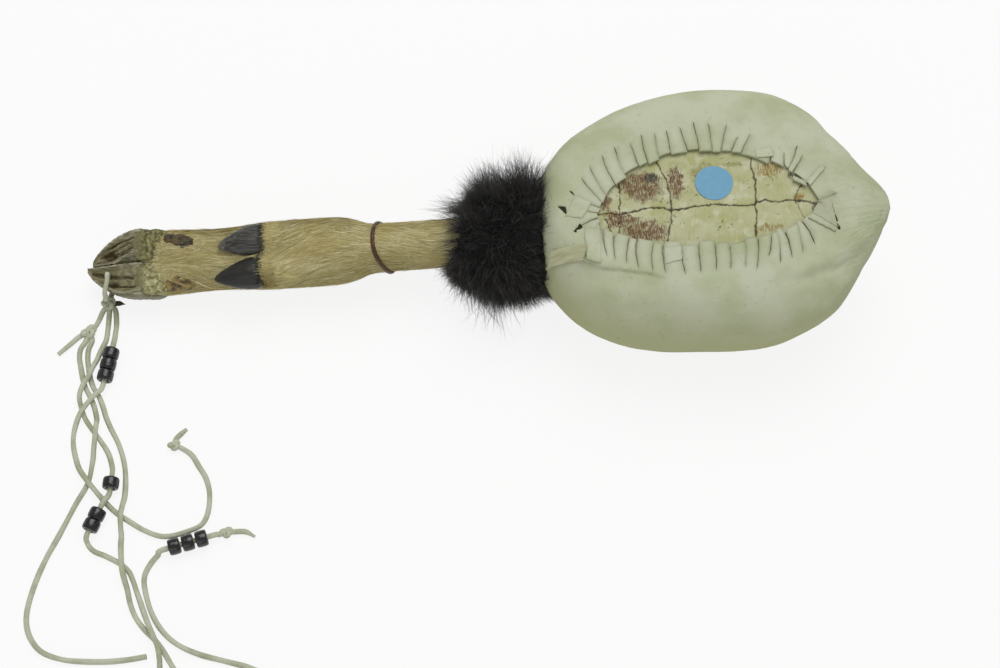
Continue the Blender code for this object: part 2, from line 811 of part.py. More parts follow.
def build_hooves(frame):
    hole = thong_hole(frame)
    drill = bmesh.new()
    radius = HOLE_DIAMETER / 2
    depth = 4 * HOOF_BELLY
    bmesh.ops.create_cone(drill, cap_ends=True, segments=14, radius1=radius, radius2=radius, depth=depth)
    drill_body = place_cutter(object_from("thong_drill", drill))
    drill_body.location = hole
    for name, side, toe in (("upper", 1, TOE - UPPER_TOE_SHORT), ("lower", -1, TOE)):
        pad_end = CORONET + PAD_LENGTH
        marks = [CORONET, (CORONET + pad_end) / 2, pad_end - GAP / 3, pad_end + 3 * GAP]
        marks += [pad_end + (toe - pad_end) * share for share in (0.3, 0.55, 0.75, 0.9, 0.99)]
        body = loft([hoof_section(at, side, toe) for at in marks])
        hoof = place(object_from(f"hoof_{name}", body, math.radians(50)), "hoof_horn", frame)
        if side < 0:
            cut(hoof, drill_body)
        build_heel_pad(name, side, frame)
        build_dewclaw(name, side, frame)


def build_heel_pad(name, side, frame):
    """A rounded bulb that fills the seat behind the sole."""
    work = bmesh.new()
    bmesh.ops.create_uvsphere(work, u_segments=16, v_segments=10, radius=1.0)
    everything = work.verts[:] + work.edges[:] + work.faces[:]
    bmesh.ops.bisect_plane(
        work, geom=everything, plane_co=(0, 0, 0), plane_no=(0, 0, -1), clear_outer=True
    )
    rim = [edge for edge in work.edges if edge.is_boundary]
    bmesh.ops.holes_fill(work, edges=rim)
    wide = HOOF_WIDTH - CLEFT
    bmesh.ops.scale(
        work, vec=(PAD_LENGTH / 2 - GAP, wide / 2, PAD_HEIGHT), verts=work.verts
    )
    pad = place(object_from(f"heel_pad_{name}", work), "heel_pad", frame)
    pad.location = (-(CORONET + PAD_LENGTH / 2), side * (CLEFT + wide / 2), PAD_SEAT + GAP)


def build_dewclaw(name, side, frame):
    """A small horn claw that lies back along the leg, its root sunk in the hide."""
    rings = []
    for along, share in DEWCLAW_TAPER:
        half = DEWCLAW_RADIUS * share
        rings.append(oval(along * DEWCLAW_LENGTH, half, half * DEWCLAW_DEPTH, DEWCLAW_SIDES))
    claw = place(object_from(f"dewclaw_{name}", loft(rings)), "hoof_horn", frame)
    claw.location = (-DEWCLAW_PLACE, side * DEWCLAW_SIDE + DEWCLAW_SHIFT, DEWCLAW_HEIGHT)
    claw.rotation_euler = (0, DEWCLAW_TILT, DEWCLAW_TURN)
    cut(claw, HIDE_CLEARANCE)


def thong_hole(frame):
    """Where the thong goes through the near hoof, half way down it."""
    local = Vector((-(TOE - HOLE_FROM_TOE), -(CLEFT / 2 + HOLE_SIDE), 0))
    return frame.matrix_world @ local


def tube(name, points, material, parent, diameter=CORD_DIAMETER):
    """A round lace through the points, with filled ends."""
    curve = bpy.data.curves.new(name, 'CURVE')
    curve.dimensions = '3D'
    curve.bevel_depth = diameter / 2
    curve.bevel_resolution = 2
    curve.use_fill_caps = True
    spline = curve.splines.new('POLY')
    spline.points.add(len(points) - 1)
    for target, point in zip(spline.points, points):
        target.co = (*point, 1)
    return place(bpy.data.objects.new(name, curve), material, parent)


def route_points(route, step=CORD_STEP):
    """Points at even steps along a smooth route, which runs straight where it goes through beads."""
    pieces = 12
    line = spline_points([Vector(point) for point in route], pieces)
    raised = [i for i, point in enumerate(route) if point[2] in (AXLE, HIGH)]
    marks = sorted({0, *raised, len(route) - 1})
    points = []
    for first, last in zip(marks, marks[1:]):
        span = line[first * pieces:last * pieces + 1]
        if last == first + 1 and route[first][2] == route[last][2] == AXLE:
            span = [span[0], span[-1]]
        length = sum((end - start).length for start, end in zip(span, span[1:]))
        count = 1 if len(span) == 2 else max(1, round(length / step))
        points += evenly_spaced(span, count)[:-1]
    points.append(Vector(route[-1]))
    for point in points:
        point.z = max(point.z, LOW)
    return points


def knot(name, centre, stretch, turn, parent):
    """A pulled-tight knot as a plain rounded lump."""
    work = bmesh.new()
    bmesh.ops.create_uvsphere(work, u_segments=12, v_segments=8, radius=KNOT_RADIUS)
    bmesh.ops.scale(work, vec=stretch, verts=work.verts)
    obj = place(object_from(name, work), "pale_lace", parent)
    obj.location = (*centre, KNOT_RADIUS * stretch[2] + GAP)
    obj.rotation_euler.z = turn


def build_thong(frame):
    """The lace: a loop through the hoof, a first knot, and four strands that lie on the table."""
    hole = thong_hole(frame)
    pivot = bpy.data.objects.new("thong_pivot", None)
    PARTS.objects.link(pivot)
    pivot.location = (hole.x + KNOT_1_FROM_HOLE[0], hole.y + KNOT_1_FROM_HOLE[1], 0)
    section = hoof_section(TOE - HOLE_FROM_TOE, -1, TOE)
    world = [frame.matrix_world @ point - pivot.location for point in reversed(section)]
    rim = world[5]
    sole = world[3]
    inside = hole - pivot.location
    clear = CORD_DIAMETER / 2 + GAP
    over_rim = (rim + inside) / 2
    loop = [
        (-0.7 * clear, 0.3 * clear, 2 * KNOT_RADIUS + CORD_DIAMETER * 0.36),
        (rim.x - 0.8 * clear, rim.y - 1.8 * clear, rim.z * 0.74),
        (rim.x - 0.7 * clear, rim.y - 0.9 * clear, rim.z + 0.9 * clear),
        (over_rim.x, over_rim.y, rim.z + 2.3 * clear),
        (inside.x, inside.y - 0.5 * clear, sole.z + 2.2 * clear),
        (inside.x, inside.y, sole.z + 0.3 * clear),
        (inside.x, inside.y, inside.z - 1.8 * clear),
        (inside.x, inside.y, LOW + 1.9 * clear),
        (inside.x, inside.y - 0.8 * clear, LOW + 0.5 * clear),
        (inside.x - 0.2 * clear, inside.y - 2.1 * clear, LOW),
        (0.1 * clear, KNOT_RADIUS + GAP, LOW + 0.35 * clear),
    ]
    tube("thong_loop", route_points(loop, CORD_DIAMETER * 0.8), "pale_lace", pivot)
    knot("thong_knot_1", (0, 0), (1.0, 0.95, 0.95), 0.0, pivot)
    knot("thong_knot_2", KNOT_2_CENTRE, (1.2, 0.85, 0.8), KNOT_2_TURN, pivot)
    knot("end_knot_1", END_KNOT_1_CENTRE, (0.95, 0.8, 0.7), math.radians(20), pivot)
    knot("end_knot_4", END_KNOT_4_CENTRE, (0.95, 0.8, 0.7), math.radians(15), pivot)
    for name, route in (
        ("thong_lead", LEAD_ROUTE),
        ("strand_1", STRAND_1_ROUTE),
        ("strand_2", STRAND_2_ROUTE),
        ("strand_3", STRAND_3_ROUTE),
        ("strand_4", STRAND_4_ROUTE),
        ("thong_tail_1", TAIL_1_ROUTE),
        ("thong_tail_2", TAIL_2_ROUTE),
        ("end_tail_1", END_TAIL_1_ROUTE),
        ("end_tail_4", END_TAIL_4_ROUTE),
    ):
        tube(name, route_points(route), "pale_lace", pivot)
    build_beads(pivot)


def build_beads(pivot):
    """Pony beads strung on the straight runs of the lace."""
    radius = BEAD_DIAMETER / 2
    half = BEAD_LENGTH / 2
    profile = (
        (radius, -half * 0.62),
        (radius, half * 0.62),
        (radius * 0.8, half),
        (BEAD_BORE / 2, half),
        (BEAD_BORE / 2, -half),
        (radius * 0.8, -half),
    )
    for name, route, run, count, spacing in BEAD_GROUPS:
        start = Vector(route[run])
        end = Vector(route[run + 1])
        along = (end - start).normalized()
        middle = (start + end) / 2
        for i in range(count):
            bead = place(turned(f"{name}_{i + 1}", profile, 14), "black_bead", pivot)
            bead.location = middle + along * (i - (count - 1) / 2) * (BEAD_LENGTH + spacing)
            bead.rotation_mode = 'QUATERNION'
            bead.rotation_quaternion = along.to_track_quat('Z', 'Y')


clear_scene()
PARTS = new_collection("turtle_shell_rattle")
CUTTERS = new_collection("cutters")
MATERIALS = {name: make_material(name) for name in COLOURS}
HANDLE = handle_frame()
HIDE_CLEARANCE = place_cutter(object_from("hide_clearance", leg_body(GAP)), HANDLE)
NECK_BORE = place_cutter(object_from("neck_bore", bone_body(GAP)), HANDLE)
COVER_CLEARANCE = place_cutter(object_from("cover_clearance", shell_skin(-1.2 * GAP, closed=True)))
build_cover(NECK_BORE, COVER_CLEARANCE)
build_shell_bone(NECK_BORE)
build_pebbles()
build_leg(HANDLE, COVER_CLEARANCE)
build_hooves(HANDLE)
build_thong(HANDLE)
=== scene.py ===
"""Turtle shell rattle, dressed: hide, scutes, fur, hair, horn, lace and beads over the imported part."""
import math

import bmesh
import bpy
import numpy as np
from mathutils import Euler, Matrix, Vector, noise
from mathutils.bvhtree import BVHTree


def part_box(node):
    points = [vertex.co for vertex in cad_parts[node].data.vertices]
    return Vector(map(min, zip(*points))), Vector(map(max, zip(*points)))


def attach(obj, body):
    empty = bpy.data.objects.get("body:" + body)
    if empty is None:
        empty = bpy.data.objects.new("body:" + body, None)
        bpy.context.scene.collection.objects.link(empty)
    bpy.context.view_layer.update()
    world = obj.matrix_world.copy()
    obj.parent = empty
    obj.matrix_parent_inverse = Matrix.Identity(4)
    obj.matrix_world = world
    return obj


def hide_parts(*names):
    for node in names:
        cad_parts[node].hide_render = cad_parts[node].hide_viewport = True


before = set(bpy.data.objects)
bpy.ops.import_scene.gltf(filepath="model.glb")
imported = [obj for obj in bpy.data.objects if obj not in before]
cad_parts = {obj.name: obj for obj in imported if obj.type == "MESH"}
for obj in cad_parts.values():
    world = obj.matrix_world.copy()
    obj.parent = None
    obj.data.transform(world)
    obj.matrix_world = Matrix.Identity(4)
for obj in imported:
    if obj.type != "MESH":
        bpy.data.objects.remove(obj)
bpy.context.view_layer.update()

bl_info = {
    "name": "Turtle shell rattle",
    "version": (1, 0, 0),
    "blender": (4, 5, 0),
    "location": "3D View > Sidebar > Rattle",
    "description": "Builds the hide, fur, hair, horn, lace and beads of a turtle shell rattle",
    "category": "Object",
}

MM = 0.001

# Shell as the hide cover wraps it
SHELL_NECK = 0.0910
SHELL_TAIL = 0.0896
SHELL_HALF_WIDTH = 0.0720
SHELL_HEIGHT = 0.0720
RIM_HEIGHT = 0.0455
RIM_SLOPE = 0.11
TAIL_LIFT = 0.0090
CROWN_SHARE = 0.0200 / SHELL_HALF_WIDTH
SHOULDER_SHARE = 0.42
BOWL_FULLNESS = 0.91
SHOULDER_FULLNESS = 0.83
NEAR_SHOULDER_FULLNESS = 1.10
RIM_FAR_SIDE = (
    (1.000, 0.000), (0.990, 0.072), (0.950, 0.167), (0.873, 0.311), (0.788, 0.479), (0.700, 0.610),
    (0.589, 0.786), (0.401, 0.938), (0.170, 0.996), (-0.069, 1.000), (-0.303, 0.950), (-0.526, 0.851),
    (-0.721, 0.713), (-0.874, 0.539), (-0.974, 0.307), (-1.000, 0.000),
)
RIM_NEAR_SIDE = (
    (-1.000, 0.000), (-0.978, -0.308), (-0.899, -0.554), (-0.758, -0.749), (-0.552, -0.892),
    (-0.320, -0.954), (-0.080, -0.968), (0.137, -0.969), (0.366, -0.933), (0.561, -0.832),
    (0.702, -0.708), (0.789, -0.567), (0.850, -0.428), (0.910, -0.300), (0.964, -0.165), (0.994, -0.072),
    (1.000, 0.000),
)
WINDOW_FAR_SIDE = (
    (0.0530, -0.0048), (0.0436, 0.0111), (0.0310, 0.0188), (0.0110, 0.0266),
    (-0.0170, 0.0258), (-0.0330, 0.0198), (-0.0520, 0.0070), (-0.0605, -0.0088),
)
WINDOW_NEAR_SIDE = (
    (-0.0605, -0.0088), (-0.0550, -0.0190), (-0.0290, -0.0256),
    (0.0110, -0.0240), (0.0370, -0.0160), (0.0530, -0.0048),
)
SCUTE_TOP = 0.07035
LABEL_PAPER = 0.0002
LAP_THICKNESS = 0.0008
STRAP_PLACE = (-0.0752, -0.0300)
STRAP_LENGTH = 0.0178
STRAP_WIDTH = 0.0070
STRAP_THICKNESS = 0.0013
STRAP_TURN = math.radians(-7)
ABOVE_ALL = 0.2

# Slits in the cover from the tail over the far side, round the neck and back, in millimetres:
# outer end, inner end, and the width at each end
SLITS = (
    (62.4, 3.0, 56.2, 0.3, 0.6, 0.2), (56.7, 18.8, 47.0, 8.2, 1.0, 0.3),
    (46.0, 25.0, 41.2, 16.2, 0.3, 0.3), (43.5, 30.4, 38.4, 17.1, 1.3, 0.3),
    (36.3, 26.8, 35.7, 18.0, 0.2, 0.2), (30.3, 27.8, 28.8, 20.6, 0.4, 0.3),
    (19.7, 37.4, 14.4, 26.2, 0.3, 0.2), (13.3, 35.6, 9.3, 27.5, 0.3, 0.2),
    (7.6, 43.1, 3.9, 29.3, 0.6, 0.2), (-2.2, 44.1, -0.6, 29.3, 0.7, 0.3),
    (-9.8, 44.6, -7.3, 27.5, 0.9, 0.4), (-17.1, 41.4, -13.2, 25.7, 0.6, 0.3),
    (-23.9, 39.2, -21.6, 23.9, 0.9, 0.3), (-30.0, 38.1, -28.2, 22.7, 0.3, 0.2),
    (-37.0, 36.8, -34.5, 20.7, 0.9, 0.3), (-43.0, 32.3, -39.6, 19.8, 0.3, 0.2),
    (-51.2, 30.2, -46.4, 13.3, 1.0, 0.3), (-57.8, 25.2, -52.0, 8.3, 0.8, 0.2),
    (-63.9, 18.6, -58.7, 2.6, 0.8, 0.3), (-69.4, 12.1, -58.8, -2.6, 1.2, 0.2),
    (-71.0, 0.0, -62.9, -4.3, 0.5, 0.2), (-73.0, -7.0, -64.0, -7.7, 0.4, 0.2),
    (-69.0, -16.0, -62.0, -12.2, 0.5, 0.8), (-66.5, -33.5, -61.5, -15.0, 0.5, 0.4),
    (-58.7, -38.6, -59.1, -18.4, 0.6, 0.5), (-52.8, -38.6, -52.3, -21.2, 0.5, 0.5),
    (-45.8, -37.5, -44.9, -23.6, 0.5, 0.6), (-39.8, -40.2, -40.8, -24.0, 0.6, 0.6),
    (-33.4, -44.6, -32.6, -26.7, 0.5, 0.5), (-26.5, -43.8, -27.6, -27.6, 0.5, 0.5),
    (-16.6, -46.8, -18.3, -25.5, 0.9, 1.0), (-8.9, -42.9, -9.6, -24.6, 0.7, 0.8),
    (-1.3, -41.3, -1.1, -24.6, 0.7, 0.8), (6.0, -40.8, 5.8, -24.2, 0.5, 0.5),
    (13.4, -39.9, 13.7, -24.2, 0.4, 0.4), (18.7, -41.1, 20.2, -22.2, 0.5, 0.5),
    (25.3, -33.4, 27.8, -21.4, 1.4, 0.9), (30.8, -37.6, 31.3, -21.4, 1.0, 0.6),
    (37.2, -34.6, 34.1, -19.6, 0.7, 0.8), (44.5, -34.6, 39.8, -14.5, 0.6, 0.6),
    (51.4, -29.1, 43.0, -13.2, 1.3, 1.0), (61.4, -18.8, 52.4, -5.2, 1.2, 6.0),
)
# Soft breaks of the hide: the ledge under the near tabs and the fold round the tail
LEDGE = ((-68.9, -33.2), (-66.9, -34.7), (-58.9, -38.6), (-47.4, -40.2), (-33.9, -42.4), (-22.0, -46.0))
TAIL_FOLD = ((24.2, -42.4), (42.4, -43.2), (60.5, -36.6), (77.1, -23.7), (80.5, -18.0))
TAIL_TIP = (0.0950, -0.0020)
# Gashes at the neck and the tail, painted dark as shade in the openings, by their corners taken clockwise,
# in millimetres
GASHES = (
    ((-75.2, 4.6), (-72.4, 3.4), (-70.9, -0.8)),
    ((-80.8, -3.9), (-76.4, -5.0), (-75.6, -10.2)),
    ((-73.8, -20.8), (-69.2, -14.4), (-67.6, -16.6)),
    ((58.4, -0.6), (62.8, -18.8), (60.6, -17.9)),
)
# Tabs that lie over others: their corners, how far each corner stands up in millimetres, and their soil and
# painted shade
LAPS = (
    (((-71.5, 1.4), (-62.9, -2.6), (-68.1, -11.9), (-76.7, -10.3)), (0.2, 0.3, 0.5, 0.1), 0.0),
    (((-27.1, -28.4), (-18.5, -27.3), (-18.3, -35.0), (-26.4, -37.3)), (0.3, 0.1, 0.5, 0.3), 0.0),
    (((51.5, -3.6), (58.0, -0.9), (61.2, -17.2), (48.6, -8.6)), (1.0, 1.9, 0.2, 0.2), 0.25),
    (((48.5, -8.8), (60.9, -17.3), (59.6, -19.6), (46.4, -12.0)), (0.2, 0.2, 0.9, 1.2), 0.1),
    (((-66.8, -16.8), (-59.3, -17.2), (-58.6, -36.6), (-66.0, -35.0)), (0.5, 0.1, 0.1, 0.9), 0.0),
    (((20.9, 27.3), (29.7, 29.3), (30.5, 23.5), (21.7, 22.4)), (0.2, 0.3, 0.8, 0.6), 0.0),
    (((40.1, 12.6), (46.6, 8.8), (46.7, 6.3), (40.0, 10.0)), (0.1, 0.3, 1.0, 0.8), 0.2),
    (((46.8, 8.8), (55.9, 19.2), (57.3, 17.7), (48.5, 6.3)), (0.4, 0.1, 0.5, 1.0), 0.0),
)

# Handle: distances run from the neck along the leg to the toe
HANDLE = Matrix.Translation((-SHELL_NECK, -0.0030, 0.0320)) @ Euler(
    (math.radians(12), -0.075888, math.radians(2.4))
).to_matrix().to_4x4()
CORONET = 0.1940
TOE = 0.2395
LEG_STATIONS = (
    (-0.0300, 0.0122, 0.0122), (0.0012, 0.0122, 0.0122), (0.0800, 0.0125, 0.0125),
    (0.0880, 0.0131, 0.0128), (0.0960, 0.0160, 0.0145), (0.1040, 0.0175, 0.0158),
    (0.1180, 0.0178, 0.0158), (0.1320, 0.0178, 0.0142), (0.1450, 0.0176, 0.0120),
    (0.1580, 0.0165, 0.0110), (0.1740, 0.0162, 0.0112), (0.1937, 0.0172, 0.0118),
    (0.2030, 0.0160, 0.0090),
)
HOOF_WIDTH = 0.0183
HOOF_TAPER = 0.0290
HOOF_BELLY = 0.0150
HOOF_BELLY_PLACE = 0.2090
TOE_ROUND = 0.62
SOLE_HEIGHT = 0.0085
CLEFT = 0.0008
CLEFT_START = 0.2060
CLEFT_END = 0.2225
CLEFT_GAPE = 0.0042
PAD_LENGTH = 0.0170
HOLE_PLACE = TOE - 0.0120
HOLE_ASIDE = 0.0056
DEWCLAW_PLACE = 0.1430
DEWCLAW_LENGTH = 0.0238
DEWCLAW_RADIUS = 0.0086
DEWCLAW_DEPTH = 0.66
DEWCLAW_SIDE = 0.0088
DEWCLAW_SHIFT = -0.0022
DEWCLAW_HEIGHT = 0.0112
DEWCLAW_LAG = 0.0020
CLAW_SINK = 0.0075
TUFT_HALF_WIDTH = 0.0102
CLAW_STATIONS = (-0.10, 0.0, 0.10, 0.25, 0.50, 0.80, 0.92, 0.97, 1.0)
CLAW_SHARES = (0.60, 0.96, 1.02, 0.98, 0.80, 0.47, 0.28, 0.17, 0.04)
DEWCLAW_SET = Euler((0, math.radians(4), math.radians(7))).to_matrix()
BAND_PLACE = 0.0800
BAND_RADIUS = 0.0136
BAND_TILT = math.radians(7)
BAND_LEAN = math.radians(18)
# Fur: where it can meet the shell, how deep in the shell it is lifted over it, its top and the pelt's hole
FUR_MEETS_SHELL = -0.108
FUR_OVERLAP = 0.016
FUR_TOP = 0.0755
PELT_BORE = 0.0128
# Least heights over the table
FUR_GAP = 0.0006
LEG_HAIR_GAP = 0.0002
HOOF_GAP = 0.00005
LACE_GAP = 0.00002

# Marks on the hooves, the upper one under 1 and the lower under -1, along and across the leg:
# hollows and grooves in millimetres, heel bulbs by middle and half size, and strips of bare skin
HOLLOWS = {1: ((226.3, 4.6, 4.4, 2.6),), -1: ((224.0, -11.5, 2.5, 1.6),)}
GROOVES = {
    1: (
        (((231.0, 5.0), (222.0, 8.4), (214.0, 11.0)), 0.8),
        (((234.0, 1.6), (226.0, 2.6), (214.0, 6.4)), 0.7),
        (((228.0, 8.6), (220.0, 11.6), (212.0, 13.4)), 0.6),
        (((226.0, 4.6), (218.0, 6.4), (211.0, 8.6)), 0.6),
    ),
    -1: (
        (((235.6, -3.6), (225.0, -6.6), (219.0, -7.8), (213.0, -8.2)), 1.5),
        (((229.0, -10.2), (221.0, -12.6), (212.0, -13.4)), 0.9),
    ),
}
HEELS = {
    1: ((0.2025, 0.0082, 0.0032), (0.0108, 0.0090, 0.0072)),
    -1: ((0.2035, -0.0102, 0.0032), (0.0100, 0.0096, 0.0072)),
}
SCABS = {1: ((0.1955, 0.0115), (0.1800, 0.0080)), -1: ((0.1985, -0.0150), (0.1805, -0.0135))}

# Lace and beads, measured from the first knot
KNOT_1 = Vector((-0.318506, -0.028859, 0.0))
CORD_DIAMETER = 0.0028
BEAD_DIAMETER = 0.0086
BEAD_LENGTH = 0.0060
BEAD_BORE = 0.0038
LOW = CORD_DIAMETER / 2 + 0.00005
HIGH = LOW + CORD_DIAMETER + 0.0006
AXLE = BEAD_DIAMETER / 2 + 0.00005
MID = (LOW + HIGH) / 2


def on_table(*points):
    """A route in metres from points in millimetres. A point without a height lies on the table."""
    return tuple((x * MM, y * MM, *(height or [LOW])) for x, y, *height in points)


LEAD_ROUTE = on_table((-3.0, -3.4), (-4.6, -8.0), (-6.2, -11.8))
STRAND_1_ROUTE = on_table(
    (3.4, -3.0), (4.6, -10.5), (4.7, -18.0, MID), (4.3, -24.0, AXLE), (0.6, -47.0, AXLE),
    (-2.0, -51.2, HIGH), (-5.6, -55.6, HIGH), (-9.4, -61.6, HIGH), (-11.8, -67.2, MID), (-13.2, -73.5),
    (-12.8, -80.0), (-11.0, -86.8), (-8.5, -93.0, MID), (-4.5, -98.8, HIGH), (0.1, -104.2, MID),
    (5.2, -109.8), (9.6, -114.2), (14.0, -117.8), (18.2, -120.4), (26.2, -125.3), (34.6, -128.6),
    (41.3, -128.6), (49.8, -126.0), (56.2, -122.6), (59.1, -116.0), (59.4, -106.4), (57.2, -98.0),
    (52.8, -90.8), (49.0, -85.0), (43.6, -81.2),
)
STRAND_2_ROUTE = on_table(
    (-11.2, -21.4), (-13.4, -25.5), (-13.6, -30.5), (-12.6, -35.2), (-11.2, -41.0), (-9.3, -47.0),
    (-6.0, -53.0), (-3.4, -59.0), (-1.8, -65.0), (-1.3, -70.0, HIGH), (-1.4, -76.5, HIGH),
    (-1.8, -83.0, MID), (-2.2, -89.0), (-3.8, -100.5), (-9.1, -111.8), (-16.0, -127.9), (-22.0, -141.2),
    (-26.4, -154.3), (-28.9, -166.8), (-28.6, -175.6), (-25.4, -183.3), (-19.4, -189.4), (-9.1, -193.0),
    (2.0, -194.0), (13.9, -194.0), (23.8, -193.0), (32.6, -191.4),
)
STRAND_3_ROUTE = on_table(
    (0.3, -4.3), (0.3, -12.0), (-0.2, -20.0), (-2.4, -26.2), (-4.0, -31.0), (-5.5, -37.0, HIGH),
    (-7.2, -41.8, HIGH), (-10.0, -47.4, HIGH), (-11.6, -53.0, MID), (-10.0, -59.8), (-7.4, -65.6),
    (-3.0, -71.8), (1.4, -77.6), (5.7, -84.2), (8.5, -92.0, MID), (9.0, -96.2, AXLE), (8.4, -106.4, AXLE),
    (6.1, -110.8, HIGH), (4.6, -113.5, AXLE), (-1.4, -128.5, AXLE), (-1.2, -133.0), (2.2, -136.8),
    (8.3, -139.4), (15.8, -143.3), (20.6, -147.5), (23.2, -152.4), (25.4, -158.0), (27.8, -164.0),
    (30.4, -170.5), (33.0, -176.0, HIGH), (36.2, -182.6, HIGH), (38.5, -188.0, HIGH), (39.4, -195.0),
    (39.8, -204.0), (40.2, -217.0), (39.6, -230.0),
)
STRAND_4_ROUTE = on_table(
    (-7.7, -20.6), (-9.1, -25.5), (-9.2, -30.8), (-8.3, -36.2), (-7.0, -42.0), (-4.8, -47.6),
    (-1.4, -52.8), (1.0, -58.4), (3.0, -64.0), (5.8, -70.0), (10.4, -78.5), (14.0, -88.4), (15.6, -98.0),
    (15.8, -107.0), (15.2, -113.0, MID), (14.9, -118.3, HIGH), (15.1, -124.0, MID), (15.6, -129.0),
    (16.0, -134.8, MID), (17.5, -145.8, HIGH), (19.0, -152.0, MID), (20.6, -157.0), (22.8, -165.0),
    (26.2, -172.0), (30.8, -177.8), (37.0, -183.8), (41.0, -189.0), (46.5, -197.5), (54.5, -208.0),
    (68.0, -217.5), (85.0, -220.0), (97.5, -214.0), (97.0, -204.0), (85.3, -197.5), (72.0, -193.8),
    (59.1, -190.4), (48.0, -185.5), (39.8, -178.6), (33.6, -169.0), (29.8, -158.0), (28.8, -150.5),
    (31.2, -144.0), (35.2, -139.4, MID), (38.0, -136.8, AXLE), (62.4, -129.3, AXLE), (65.1, -128.5, MID),
)
FIRST_KNOT = (0.0, 0.0)
SECOND_KNOT = (-0.0092, -0.0162)
END_KNOT_A = (0.0397, -0.0800)
END_KNOT_D = (0.0693, -0.1272)
TAIL_1_ROUTE = on_table((4.2, 1.1), (6.2, 1.0), (8.4, 0.6))
TAIL_2_ROUTE = on_table((-14.5, -18.2), (-19.2, -22.8), (-25.0, -28.4))
END_TAIL_1_ROUTE = on_table((40.4, -76.0), (43.0, -73.0), (45.6, -70.6))
END_TAIL_4_ROUTE = on_table((73.6, -126.4), (79.0, -126.5), (83.7, -129.0))
BEAD_GROUPS = (
    ("a", STRAND_1_ROUTE, 3, 3, 0.0003),
    ("b", STRAND_3_ROUTE, 15, 1, 0.0003),
    ("c", STRAND_3_ROUTE, 18, 2, 0.0003),
    ("d", STRAND_4_ROUTE, 43, 3, 0.0011),
)

# Camera and lamps
CAMERA_PLACE = (-0.10965515, -0.47469711, 1.01255534)
CAMERA_TILT = math.radians(23)
LAMP_AIM = Vector((-0.05, -0.05, 0.03))
KEY_PLACE = (0.05, 0.70, 1.60)
FILL_PLACE = (-0.45, -1.30, 0.60)
FILL_SHARE = 0.18
ROOM_LIGHT = 0.42
FLOOR_GLOW = 0.86

# Scutes of the plastron, in millimetres: half their size, the step of their grid, seams and stains
SCUTE_HALF_SIZE = (68, 34)
SCUTE_STEP = 0.44
SEAMS = (
    ((-61, -8.8), (-55, -8.1), (-49, -8.8), (-41, -7.1), (-37, -5.5), (-26, -4.8), (-22.8, -6.5),
     (-14, -5.1), (-6.6, -3.7), (2.4, -3.0), (8.6, -3.7), (19.5, -3.3), (21, -1.9), (26, -0.8),
     (31, -1.5), (41, -0.8), (54, -2.6)),
    ((-48.7, 16), (-48.8, 8.5), (-48.5, 1.6), (-49, -5.4), (-49.2, -9.5), (-49.2, -15.7), (-49.5, -24)),
    ((-56.4, -11.6), (-54.6, -15), (-53.8, -20)),
    ((-30.5, 26), (-29.4, 21.9), (-25.3, 12.7), (-23.1, 2.9), (-22.5, -5.4), (-22.6, -8.1),
     (-23.1, -14.3), (-26.4, -29)),
    ((18.7, 28), (19.8, 15.5), (20.8, 9.7), (20.9, -1.9), (20.3, -3.7), (20.5, -10.1), (19.6, -23)),
    ((45.5, 9.5), (41.8, 3.9), (40.9, -0.8), (42, -3.7), (45.4, -12)),
)
SEAM_WIDTHS = (0.85, 0.6, 0.7, 0.7, 0.75, 0.4)
STAIN_PATCHES = (
    (-37.5, 7.0, 12.0, 9.0), (-36.0, -18.5, 12.5, 6.5), (-50.0, -13.0, 6.0, 4.5),
    (-19.5, 9.0, 4.5, 10.5), (-56.0, -3.0, 3.5, 5.0), (-43.5, -12.0, 6.0, 2.6),
)
RUST_PATCHES = (
    (28.0, 16.8, 7.7, 4.9), (27.6, -15.9, 6.8, 2.4), (-53.0, -9.0, 6.5, 1.8), (43.0, 1.5, 3.0, 3.0),
)
SOOT_PATCHES = ((-31.8, 12.0, 4.6, 3.2), (50.8, -6.0, 2.2, 3.6), (40.4, 13.2, 3.6, 2.2))
OLIVE_PATCHES = ((9.7, 19.9, 6.6, 1.5), (-8.0, 14.0, 4.0, 6.0), (-4.0, 20.0, 3.0, 2.0))


def linear(code):
    """An sRGB hex colour as linear red, green, blue and alpha."""
    parts = [int(code[i:i + 2], 16) / 255 for i in (1, 3, 5)]
    return tuple(c / 12.92 if c <= 0.04045 else ((c + 0.055) / 1.055) ** 2.4 for c in parts) + (1.0,)


def colour_setting(name, description, code):
    return bpy.props.FloatVectorProperty(
        name=name, description=description, subtype='COLOR', size=4, default=linear(code))


def length_setting(name, description, default):
    return bpy.props.FloatProperty(name=name, description=description, default=default, unit='LENGTH')


class RattleShellSettings(bpy.types.PropertyGroup):
    """Sizes and colours of the hide cover and the plastron"""
    slit_gape: bpy.props.FloatProperty(
        name="Slit gape", description="How far the slits between the tabs gape, as a share of the usual",
        default=0.5, min=0.0, max=2.0)
    tab_lift: length_setting("Tab lift", "How far the edge of a tab can stand up", 0.0010)
    hide_thickness: length_setting("Hide thickness", "Thickness of the hide cover", 0.0014)
    hide_colour: colour_setting("Hide", "Colour of the clean hide", "#c5c9af")
    scute_colour: colour_setting("Scutes", "Colour of the clean plastron", "#bcbd95")
    label_colour: colour_setting("Label", "Colour of the round paper label", "#69a1c0")


